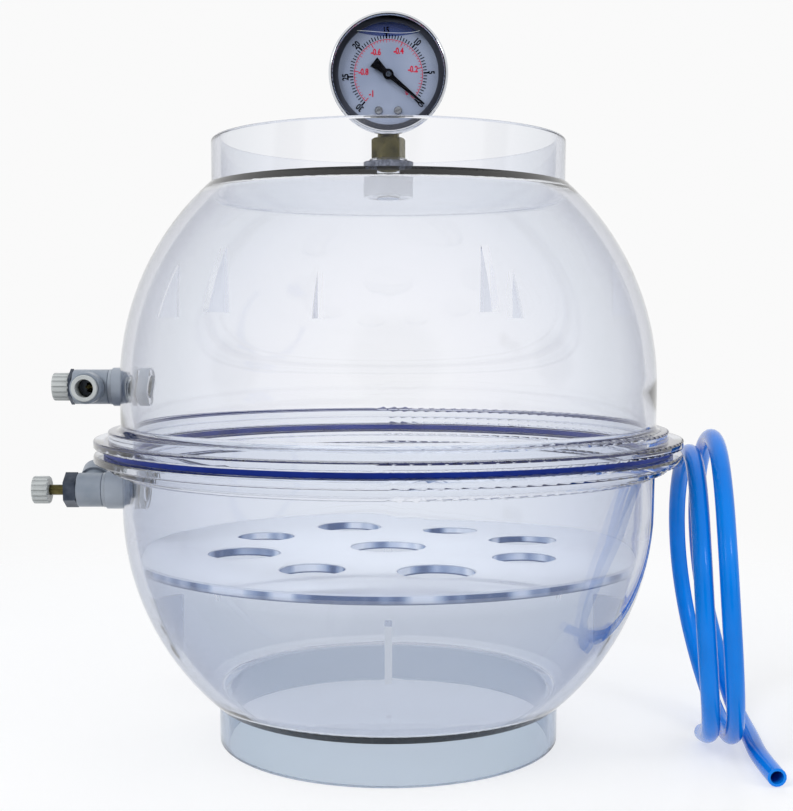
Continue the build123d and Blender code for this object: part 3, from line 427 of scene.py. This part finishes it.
# painted highlight: the pale strip along the meniscus
meniscusHighlight = colouredPlastic("meniscusHighlight", {
    "dark": (0.62, 0.65, 0.70), "light": (0.72, 0.75, 0.79), "mottleScale": 120,
    "roughness": 0.4, "subsurface": 0.1, "grainScale": 2500, "grainStrength": 0.2,
})
blackRubber = colouredPlastic("blackRubber", {
    "dark": (0.006, 0.007, 0.011), "light": (0.014, 0.016, 0.024), "mottleScale": 200,
    "roughness": 0.45, "specular": 0.2, "grainScale": 3000, "grainStrength": 0.3,
})
blackEnamel = colouredPlastic("blackEnamel", {
    "dark": (0.001, 0.001, 0.002), "light": (0.003, 0.003, 0.005), "mottleScale": 300,
    "roughness": 0.5, "specular": 0.02, "grainScale": 4000, "grainStrength": 0.1,
})
redInk = colouredPlastic("redInk", {
    "dark": (0.46, 0.008, 0.03), "light": (0.60, 0.018, 0.05), "mottleScale": 500,
    "roughness": 0.5, "specular": 0.15, "grainScale": 6000, "grainStrength": 0.1,
})
blueTube = colouredPlastic("blueTube", {
    "dark": (0.0, 0.155, 0.60), "light": (0.001, 0.205, 0.74), "mottleScale": 18,
    "roughness": 0.16, "specular": 0.2, "grainScale": 60, "grainStrength": 0.08,
})
polishedSteel = metal("polishedSteel", {
    "dark": (0.60, 0.62, 0.66), "light": (0.72, 0.74, 0.77), "patchScale": 40,
    "roughness": (0.07, 0.13), "scratchScale": 900, "stretch": (1, 8, 1), "scratchStrength": 0.06,
})
brightSteel = metal("brightSteel", {
    "dark": (0.50, 0.51, 0.53), "light": (0.62, 0.63, 0.65), "patchScale": 200, "creviceShadeReach": 0.0008,
    "roughness": (0.16, 0.28), "scratchScale": 2500, "stretch": (1, 1, 6), "scratchStrength": 0.1,
})
turnedBrass = metal("turnedBrass", {
    "dark": (0.035, 0.032, 0.013), "light": (0.12, 0.105, 0.042),
    "patchScale": 160, "creviceShadeReach": 0.001,
    "roughness": (0.12, 0.24), "scratchScale": 2200, "stretch": (1, 1, 9), "scratchStrength": 0.25,
})
blackNickel = metal("blackNickel", {
    "dark": (0.035, 0.045, 0.065), "light": (0.08, 0.095, 0.125),
    "patchScale": 200, "creviceShadeReach": 0.001,
    "roughness": (0.16, 0.28), "scratchScale": 2500, "stretch": (6, 1, 1), "scratchStrength": 0.1,
})
bossPlastic = colouredPlastic("bossPlastic", {
    "dark": (0.42, 0.47, 0.54), "light": (0.54, 0.59, 0.66), "mottleScale": 60,
    "roughness": 0.28, "transmission": 0.35, "grainScale": 400, "grainStrength": 0.1,
})
greyGasket = colouredPlastic("greyGasket", {
    "dark": (0.055, 0.062, 0.085), "light": (0.12, 0.13, 0.165), "mottleScale": 28,
    "roughness": 0.25, "grainScale": 900, "grainStrength": 0.1,
})
screwSteel = metal("screwSteel", {
    "dark": (0.16, 0.17, 0.19), "light": (0.34, 0.35, 0.37), "patchScale": 300, "creviceShadeReach": 0.0008,
    "roughness": (0.1, 0.18), "scratchScale": 2500, "stretch": (1, 1, 6), "scratchStrength": 0.1,
})
print("materials ready:", len(bpy.data.materials))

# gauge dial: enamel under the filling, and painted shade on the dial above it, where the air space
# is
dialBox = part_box("gauge_dial")
dialCentre = (dialBox[0] + dialBox[1]) / 2
dialFace = dialBox[0].y
gaugeDial = {
    "fillLine": 20.3 * mm,       # liquid level above the hub
    "fillDip": 2.2 * mm, "fillHalfWidth": 17.0 * mm, "fillEdge": 0.2 * mm,
    "pale": (0.235, 0.275, 0.365), "paler": (0.30, 0.34, 0.43),
    "airSpaceShade": (0.035, 0.055, 0.17),
}


def dialEnamel():
    material, nodeSet, links, shader = newMaterial("dialEnamel")
    # the level sags, so the painted shade of the air space starts lower in the middle
    across = placeAlong(nodeSet, links, "X")
    square = mathNode(nodeSet, links, "MULTIPLY", across, across)
    dip = -gaugeDial["fillDip"] / gaugeDial["fillHalfWidth"] ** 2
    height = placeAlong(nodeSet, links, "Z")
    sag = mathNode(nodeSet, links, "MULTIPLY_ADD", square, dip, height)
    level = dialCentre.z + gaugeDial["fillLine"]
    edge = gaugeDial["fillEdge"]
    above = rescaled(nodeSet, links, sag, level - edge, level + edge)
    mottle = objectPattern(nodeSet, links, 45, Detail=3)
    stops = ((0.3, gaugeDial["pale"]), (0.7, gaugeDial["paler"]))
    wet = rampOf(nodeSet, links, mottle.outputs["Fac"], stops)
    # painted shade: above the level the dial takes the dark air-space colour
    colour = blended(nodeSet, links, above, wet, gaugeDial["airSpaceShade"])
    links.new(colour, shader.inputs["Base Color"])
    shader.inputs["Roughness"].default_value = 0.4
    shader.inputs["Specular IOR Level"].default_value = 0.2
    grain = objectPattern(nodeSet, links, 3000, Detail=2)
    bumpFrom(nodeSet, links, grain.outputs["Fac"], shader, 0.05, 0.0001)
    return material


# CAD pieces that keep their shape take their finish here
finishes = {
    bowlClear: ["bowl"],
    lidClear: ["dome_lid", "socket_washer"],
    shelfClear: ["shelf_plate"],
    windowClear: ["gauge_window"],
    blueSilicone: ["seal_ring"],
    polishedSteel: ["gauge_case", "gauge_bezel"],
    brightSteel: [
        "hairspring", "lid_valve_grab_ring", "bowl_valve_grab_ring",
    ],
    screwSteel: ["dial_screws"],
    greyGasket: ["gauge_gasket"],
    turnedBrass: [
        "gauge_socket", "pinion_arbor", "sector_gear", "movement_frame", "bourdon_tube",
        "tube_tip", "tip_link", "lid_valve_core", "bowl_valve_core", "lid_valve_needle",
        "bowl_valve_needle",
    ],
    blackRubber: [
        "fill_plug", "lid_valve_o_rings", "bowl_valve_o_rings",
        "lid_valve_tube_seal", "bowl_valve_tube_seal",
    ],
    dialEnamel(): ["gauge_dial"],
    blackEnamel: ["pointer"],
    bossPlastic: ["lid_valve_washer", "bowl_valve_washer"],
    greyNylon: ["lid_valve_elbow", "bowl_valve_elbow"],
    lightNylon: ["lid_valve_collet", "bowl_valve_collet", "lid_valve_knob", "bowl_valve_knob"],
    blackNickel: ["lid_valve_bonnet", "bowl_valve_bonnet"],
    blueTube: ["hose_coil", "hose_tail"],
}
for material, names in finishes.items():
    for name in names:
        nodes[name].data.materials.clear()
        nodes[name].data.materials.append(material)
print("finishes on", sum(len(names) for names in finishes.values()), "parts")



def mergedShell(nodeName, pieceName, material, body):
    # the copy's loose triangles are joined, so that its curves shade evenly
    piece = bpy.data.objects.new(pieceName, nodes[nodeName].data.copy())
    piece.data.name = pieceName
    bpy.context.scene.collection.objects.link(piece)
    piece.matrix_world = nodes[nodeName].matrix_world
    selectOnly(piece)
    bpy.ops.object.mode_set(mode="EDIT")
    bpy.ops.mesh.select_all(action="SELECT")
    bpy.ops.mesh.remove_doubles(threshold=2e-6)
    bpy.ops.object.mode_set(mode="OBJECT")
    if piece.data.has_custom_normals:
        bpy.ops.mesh.customdata_custom_splitnormals_clear()
    settle(smoothShade(piece, 30))
    even = piece.modifiers.new("even", "WEIGHTED_NORMAL")
    even.keep_sharp = True
    applyModifiers(piece)
    dress(piece, material, body)
    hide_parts(nodeName)
    return piece


clearShells = [
    mergedShell("bowl", "bowlShell", bowlClear, "base"),
    mergedShell("dome_lid", "lidShell", lidClear, "lid"),
]
print("shells merged:", [len(shell.data.vertices) for shell in clearShells])

# dial print
dialPrint = {
    "lift": 0.03 * mm, "thickness": 0.03 * mm,
    "start": -42.0, "sweep": 270.0,       # degrees, from the right, anticlockwise
    "condensed": 0.78, "weight": 0.19 * mm,
}
blackScale = {
    "numbers": ["0", "5", "10", "15", "20", "25", "30"], "numberRadius": 23.4 * mm,
    "numberSize": 4.7 * mm, "outward": True, "steps": 60, "every": 10,
    "inner": 19.2 * mm, "short": 21.2 * mm, "long": 22.1 * mm,
    "thin": 0.54 * mm, "thick": 0.90 * mm,
}
redScale = {
    "numbers": ["0", "-0.2", "-0.4", "-0.6", "-0.8", "-1"], "numberRadius": 13.7 * mm,
    "numberSize": 4.6 * mm, "outward": False, "steps": 50, "every": 10,
    "inner": 18.7 * mm, "short": 17.5 * mm, "long": 16.4 * mm,
    "thin": 0.3 * mm, "thick": 0.5 * mm, "arc": 0.34 * mm,
}


def dialPoint(degrees, radius, depth=0.0):
    turn = math.radians(degrees)
    height = dialFace - dialPrint["lift"] - depth
    return Vector((
        dialCentre.x + radius * math.cos(turn), height, dialCentre.z + radius * math.sin(turn)
    ))


def tickMark(degrees, inner, outer, width):
    # a thin bar along the radius
    deselectAll()
    middle = dialPoint(degrees, (inner + outer) / 2, dialPrint["thickness"] / 2)
    bpy.ops.mesh.primitive_cube_add(size=1, location=middle)
    bar = bpy.context.object
    bar.scale = (outer - inner, dialPrint["thickness"], width)
    bar.rotation_euler = (0, -math.radians(degrees), 0)
    return bar


def dialNumber(text, degrees, radius, size, turned):
    deselectAll()
    bpy.ops.object.text_add(location=dialPoint(degrees, radius))
    number = bpy.context.object
    number.data.body = text
    number.data.size = size
    number.data.align_x = "CENTER"
    number.data.align_y = "CENTER"
    number.data.extrude = dialPrint["thickness"] / 2
    number.data.offset = dialPrint["weight"]
    number.data.resolution_u = 3
    stand = Matrix.Rotation(math.radians(90), 4, "X")
    roll = Matrix.Rotation(-math.radians(turned), 4, "Y")
    narrow = Matrix.Diagonal((dialPrint["condensed"], 1, 1, 1))
    number.matrix_world = Matrix.Translation(number.location) @ roll @ stand @ narrow
    return toMesh(number)


def printArc(name, radius, width):
    # a thin flat band along the scale
    deselectAll()
    half = dialPrint["thickness"] / 2
    bpy.ops.mesh.primitive_plane_add(size=1, location=dialPoint(dialPrint["start"], radius, half))
    band = nameNewest(name)
    band.scale = (width, 2 * half, 1)
    band.rotation_euler = (0, -math.radians(dialPrint["start"]), 0)
    settle(band)
    bpy.ops.object.mode_set(mode="EDIT")
    bpy.ops.mesh.select_all(action="SELECT")
    bpy.ops.mesh.spin(
        steps=90, angle=math.radians(dialPrint["sweep"]),
        center=(dialCentre.x, 0, dialCentre.z), axis=(0, 1, 0),
    )
    bpy.ops.mesh.select_all(action="SELECT")
    bpy.ops.mesh.normals_make_consistent(inside=False)
    bpy.ops.object.mode_set(mode="OBJECT")
    return band


def printScale(scale):
    marks = []
    for step in range(scale["steps"] + 1):
        degrees = dialPrint["start"] + dialPrint["sweep"] * step / scale["steps"]
        major = step % scale["every"] == 0
        middle = step % (scale["every"] // 2) == 0
        end, width = scale["short"], scale["thin"]
        if major:
            end, width = scale["long"], scale["thick"]
        elif middle:
            end = (scale["short"] + scale["long"]) / 2
        inner, outer = sorted((scale["inner"], end))
        marks.append(tickMark(degrees, inner, outer, width))
    for index, text in enumerate(scale["numbers"]):
        degrees = dialPrint["start"] + dialPrint["sweep"] * index / (len(scale["numbers"]) - 1)
        turned = degrees - 90 if scale["outward"] else 0
        marks.append(dialNumber(text, degrees, scale["numberRadius"], scale["numberSize"], turned))
    return marks


blackMarks = joinPieces(printScale(blackScale), "blackMarks")
redArc = printArc("redArc", redScale["inner"], redScale["arc"])
redMarks = joinPieces([*printScale(redScale), redArc], "redMarks")
dress(blackMarks, blackEnamel, "lid")
dress(redMarks, redInk, "lid")
print("dial printed")

# screw in the pointer's hub
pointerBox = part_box("pointer")
hubScrew = {
    "radius": 1.5 * mm, "height": 0.4 * mm, "slot": 0.45 * mm, "edge": 0.15 * mm, "turn": 25,
}


def makeHubScrew():
    deselectAll()
    front = pointerBox[0].y - hubScrew["height"] / 2
    bpy.ops.mesh.primitive_cylinder_add(
        vertices=48, radius=hubScrew["radius"], depth=hubScrew["height"],
        location=(dialCentre.x, front, dialCentre.z), rotation=(math.radians(90), 0, 0),
    )
    screw = nameNewest("pointerScrew")
    settle(screw)
    bevel = screw.modifiers.new("edge", "BEVEL")
    bevel.width = hubScrew["edge"]
    bevel.segments = 3
    applyModifiers(screw)
    bpy.ops.mesh.primitive_cube_add(
        size=1, location=(dialCentre.x, front - hubScrew["height"] / 2, dialCentre.z)
    )
    cutter = bpy.context.object
    cutter.scale = (3 * hubScrew["radius"], hubScrew["height"], hubScrew["slot"])
    cutter.rotation_euler = (0, math.radians(hubScrew["turn"]), 0)
    settle(cutter)
    slot = screw.modifiers.new("slot", "BOOLEAN")
    slot.object = cutter
    slot.operation = "DIFFERENCE"
    applyModifiers(screw)
    bpy.data.objects.remove(cutter)
    return smoothShade(screw)


dress(makeHubScrew(), blackNickel, "gauge_pointer")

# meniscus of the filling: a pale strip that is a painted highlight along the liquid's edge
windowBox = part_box("gauge_window")
meniscus = {"thickness": 0.12 * mm, "behindGlass": 0.35 * mm}


def makeMeniscus():
    deselectAll()
    depth = windowBox[1].y - meniscus["behindGlass"]
    level = dialCentre.z + gaugeDial["fillLine"]
    bpy.ops.curve.primitive_bezier_curve_add(location=(0, 0, 0))
    line = nameNewest("meniscus")
    reach = gaugeDial["fillHalfWidth"]
    pull = Vector((0.45 * reach, 0, 0))
    drop = Vector((0, 0, gaugeDial["fillDip"] * 1.3))
    left, right = line.data.splines[0].bezier_points
    for point, side in ((left, -1), (right, 1)):
        point.co = (dialCentre.x + side * reach, depth, level + gaugeDial["fillDip"])
        point.handle_left = point.co - pull
        point.handle_right = point.co + pull
    left.handle_right = left.co + pull - drop
    right.handle_left = right.co - pull - drop
    line.data.bevel_depth = meniscus["thickness"]
    line.data.bevel_resolution = 3
    line.data.use_fill_caps = True
    return smoothShade(settle(toMesh(line)))


dress(makeMeniscus(), meniscusHighlight, "lid")
print("gauge finished")

# frosted sleeves on the bosses
frostedBoss = {
    "thickness": 0.12 * mm, "clear": 0.02 * mm,
    "gaugeRadius": 13.7 * mm, "gaugeHeight": 13.4 * mm, "valveRadius": 10.75 * mm,
    "wallOutside": 150.4 * mm, "wallInside": 143.05 * mm, "short": 0.1 * mm,
}
frostTones = (
    (0.3, (0.06, 0.07, 0.10)), (0.5, (0.13, 0.145, 0.19)), (0.72, (0.32, 0.345, 0.41)),
)


def frostedPlastic():
    material, nodeSet, links, shader = newMaterial("frostedPlastic")
    mottle = objectPattern(nodeSet, links, 700, Detail=6)
    colour = rampOf(nodeSet, links, mottle.outputs["Fac"], frostTones)
    links.new(colour, shader.inputs["Base Color"])
    shader.inputs["Roughness"].default_value = 0.5
    shader.inputs["Transmission Weight"].default_value = 0.1
    bumpFrom(nodeSet, links, mottle.outputs["Fac"], shader, 0.4, 0.0004)
    return material


def frostedSleeve(name, radius, start, length, axisPoint, axisDirection, sideDirection):
    inner = radius + frostedBoss["clear"]
    outer = inner + frostedBoss["thickness"]
    end = start + length
    profile = [(inner, start), (outer, start), (outer, end), (inner, end)]
    return ringProfile(name, profile, axisPoint, axisDirection, sideDirection, steps=64)


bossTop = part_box("socket_washer")[0].z
gaugeBoss = frostedSleeve(
    "gaugeBossFrost", frostedBoss["gaugeRadius"], bossTop - frostedBoss["gaugeHeight"],
    frostedBoss["gaugeHeight"] - frostedBoss["short"], (0, 0, 0), (0, 0, 1), (1, 0, 0),
)
dress(gaugeBoss, frostedPlastic(), "lid")


def valveSleeve(name, axisHeight, start, end):
    return frostedSleeve(
        name, frostedBoss["valveRadius"], start, end - start,
        (0, 0, axisHeight), (-1, 0, 0), (0, 1, 0),
    )


for valveName, body, insideStart in (
    ("lid_valve", "lid", 136.05 * mm), ("bowl_valve", "base", 140.05 * mm),
):
    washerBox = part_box(f"{valveName}_washer")
    axisHeight = (washerBox[0].z + washerBox[1].z) / 2
    bossEnd = -washerBox[1].x - frostedBoss["short"]
    sleeves = [
        valveSleeve(f"{valveName}Boss", axisHeight, frostedBoss["wallOutside"], bossEnd),
        valveSleeve(
            f"{valveName}InnerBoss", axisHeight, insideStart, frostedBoss["wallInside"]
        ),
    ]
    dress(joinPieces(sleeves, f"{valveName}Boss"), bossPlastic, body)
print("bosses frosted")

# hose
hose = {
    "diameter": 10 * mm, "bore": 7 * mm,
    # the route's own numbers are in millimetres
    "turnRadii": (80.5, 85.0),            # first and second turn
    "firstAcross": 170.3, "spread": 13.0, "lowest": 5.0, "middle": 88.0,
    "yaw": 7.7 / 85, "lean": 7.6 / 84.5, "twist": 3.3, "forward": 16.0,
    "pointsPerTurn": 16,
    "lastPoint": 30,                      # of two turns' points, where the tail takes over
    "tail": (
        (208.5, 30, 11), (208.5, 2, 5), (205.5, -28, 5), (201, -60, 5), (201, -95, 5),
    ),
}


def hoseRoute():
    points = []
    firstRadius, secondRadius = hose["turnRadii"]
    for index in range(hose["lastPoint"]):
        turns = index / hose["pointsPerTurn"]
        share = min(1.0, max(0.0, turns - 0.5))
        radius = firstRadius * (1 - share) + secondRadius * share
        angle = math.tau * turns
        height = 1 - math.cos(angle)
        y = -radius * math.sin(angle)
        z = hose["lowest"] + radius * height
        x = hose["firstAcross"] + hose["spread"] * turns + hose["yaw"] * y
        x += hose["twist"] * math.cos(2 * angle) - hose["lean"] * (z - hose["middle"])
        y -= hose["forward"] * (1 - height / 2)
        points.append((x, y, z))
    return [Vector(point) * mm for point in points + list(hose["tail"])]


def routeSpline(name, bevel):
    curve = bpy.data.curves.new(name, "CURVE")
    curve.dimensions = "3D"
    spline = curve.splines.new("NURBS")
    route = hoseRoute()
    spline.points.add(len(route) - 1)
    for point, place in zip(spline.points, route):
        point.co = (*place, 1)
    spline.order_u = 3
    spline.use_endpoint_u = True
    curve.resolution_u = 8
    curve.bevel_depth = bevel
    curve.bevel_resolution = 6
    piece = bpy.data.objects.new(name, curve)
    bpy.context.scene.collection.objects.link(piece)
    return piece


def makeHose():
    line = routeSpline("hoseLine", 0)
    bpy.context.view_layer.update()
    lineMesh = bpy.data.meshes.new_from_object(line)
    path = [vertex.co.copy() for vertex in lineMesh.vertices]
    bpy.data.objects.remove(line)
    tube = toMesh(routeSpline("blueHose", hose["diameter"] / 2))
    wall = tube.modifiers.new("wall", "SOLIDIFY")
    wall.thickness = (hose["diameter"] - hose["bore"]) / 2
    wall.offset = -1
    wall.use_rim = True
    applyModifiers(tube)
    tube.data.name = "blueHose"
    length = sum((b - a).length for a, b in zip(path, path[1:]))
    return smoothShade(tube, 50), path, length


blueHose, hosePath, hoseLength = makeHose()
dress(blueHose, blueTube, "base")
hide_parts("hose_coil", "hose_tail")
print("hose laid, metres:", round(hoseLength, 3))

# floor, light and camera
studio = {
    "white": (0.955, 0.955, 0.955), "ambient": (0.82, 0.85, 0.90), "ambientStrength": 0.55,
    "floorRadius": 1.1, "floorFade": (0.32, 1.0), "floorAlbedo": 0.42, "floorGlow": 0.58,
    "lamps": (
        # name, place, aim, size, watts, seen in shiny surfaces
        ("keySoftbox", (-1.1, -1.2, 1.6), (0, 0, 0.2), 0.9, 24, False),
        ("fillSoftbox", (1.4, -1.0, 0.9), (0, 0, 0.2), 0.8, 9, False),
        ("backSoftbox", (0.3, 1.5, 1.3), (0, 0, 0.2), 1.0, 9, False),
        ("streakLight", (0.75, -0.9, 0.95), (0.19, 0, 0.1), 0.22, 1.6, True),
        ("rimLight", (-0.9, -0.7, 0.9), (-0.15, 0, 0.2), 0.3, 1.6, True),
    ),
}


def makeWorld():
    world = bpy.data.worlds.new("studio")
    bpy.context.scene.world = world
    world.use_nodes = True
    nodeSet, links = world.node_tree.nodes, world.node_tree.links
    ambient = nodeSet["Background"]
    ambient.inputs["Color"].default_value = (*studio["ambient"], 1)
    ambient.inputs["Strength"].default_value = studio["ambientStrength"]
    seen = nodeSet.new("ShaderNodeBackground")
    seen.inputs["Color"].default_value = (*studio["white"], 1)
    path = nodeSet.new("ShaderNodeLightPath")
    inView = largest(nodeSet, links, *(
        path.outputs[f"Is {kind} Ray"] for kind in ("Camera", "Glossy", "Transmission")
    ))
    mixShaders(
        nodeSet, links, inView, ambient.outputs["Background"], seen.outputs["Background"],
        nodeSet["World Output"],
    )


def fadeOut(nodeSet, links, shader, centre, solidWithin, goneBeyond, onlyFirst=False):
    # solid in the middle and clear at the rim
    place = nodeSet.new("ShaderNodeTexCoord")
    reach = nodeSet.new("ShaderNodeVectorMath")
    reach.operation = "DISTANCE"
    reach.inputs[1].default_value = centre
    links.new(place.outputs["Object"], reach.inputs[0])
    fade = nodeSet.new("ShaderNodeMapRange")
    fade.interpolation_type = "SMOOTHSTEP"
    fade.inputs["From Min"].default_value = solidWithin
    fade.inputs["From Max"].default_value = goneBeyond
    links.new(reach.outputs["Value"], fade.inputs["Value"])
    factor = fade.outputs["Result"]
    if onlyFirst:
        # only a first reflection meets it, not light inside the clear walls
        path = nodeSet.new("ShaderNodeLightPath")
        later = mathNode(nodeSet, links, "GREATER_THAN", path.outputs["Ray Depth"], 1.5)
        factor = largest(nodeSet, links, factor, later)
    clear = nodeSet.new("ShaderNodeBsdfTransparent")
    mixShaders(
        nodeSet, links, factor, shader.outputs["BSDF"], clear.outputs["BSDF"],
        nodeSet["Material Output"],
    )


def makeFloor():
    deselectAll()
    bpy.ops.mesh.primitive_circle_add(
        vertices=96, radius=studio["floorRadius"], fill_type="NGON", location=(0, 0, -0.0006)
    )
    floor = settle(nameNewest("studioFloor"))
    material, nodeSet, links, shader = newMaterial("paleFloor")
    shader.inputs["Base Color"].default_value = (*[studio["floorAlbedo"]] * 3, 1)
    shader.inputs["Roughness"].default_value = 1
    shader.inputs["Specular IOR Level"].default_value = 0
    shader.inputs["Emission Color"].default_value = (1, 1, 1, 1)
    shader.inputs["Emission Strength"].default_value = studio["floorGlow"]
    fadeOut(nodeSet, links, shader, (0, 0, 0), *studio["floorFade"])
    floor.data.materials.append(material)


def makeLamp(name, place, aim, size, watts, glossy):
    deselectAll()
    bpy.ops.object.light_add(type="AREA", location=place)
    lamp = bpy.context.object
    lamp.name = name
    lamp.data.shape = "SQUARE"
    lamp.data.size = size
    lamp.data.energy = watts
    lamp.rotation_euler = (Vector(aim) - Vector(place)).to_track_quat("-Z", "Y").to_euler()
    lamp.visible_glossy = glossy
    lamp.visible_transmission = False
    if glossy:
        lamp.light_linking.receiver_collection = shinyPieces


def darkFlag(name, place, size):
    # a soft-edged dark card that only shiny surfaces see
    deselectAll()
    bpy.ops.mesh.primitive_plane_add(size=1, location=place)
    card = nameNewest(name)
    card.scale = (size, size, 1)
    card.rotation_euler = (Vector((0, 0, 0.3)) - Vector(place)).to_track_quat("Z", "Y").to_euler()
    settle(card)
    material, nodeSet, links, shader = newMaterial(name)
    shader.inputs["Base Color"].default_value = (0.02, 0.02, 0.025, 1)
    shader.inputs["Specular IOR Level"].default_value = 0
    fadeOut(nodeSet, links, shader, place, 0.25 * size, 0.5 * size, onlyFirst=True)
    card.data.materials.append(material)
    card.visible_camera = False
    card.visible_diffuse = False
    card.visible_transmission = False
    card.visible_shadow = False


# small shiny pieces have two lamps of their own, which the clear walls don't mirror
shinyPieces = bpy.data.collections.new("shinyPieces")
for piece in [
    blueHose, *(
        part for name, part in nodes.items()
        if name not in ("bowl", "dome_lid", "shelf_plate", "gauge_window", "socket_washer")
    ),
]:
    shinyPieces.objects.link(piece)


makeWorld()
makeFloor()
for lamp in studio["lamps"]:
    makeLamp(*lamp)
darkFlag("frontFlag", (0.1, -2.4, 0.75), 1.9)
darkFlag("leftFlag", (-2.0, -1.0, 0.5), 1.1)
darkFlag("rightFlag", (2.1, -0.8, 0.6), 0.9)

bpy.context.scene.view_settings.view_transform = "Standard"

view = {
    "place": (0, -0.762, 0.235), "pitch": 7.2, "lens": 59.3,
    "shift": (0.010, 0.114),
}
deselectAll()
bpy.ops.object.camera_add(
    location=view["place"], rotation=(math.radians(90 - view["pitch"]), 0, 0)
)
camera = bpy.context.object
camera.name = "productCamera"
camera.data.lens = view["lens"]
camera.data.sensor_width = 36
camera.data.shift_x, camera.data.shift_y = view["shift"]
bpy.context.scene.camera = camera
print("studio set")
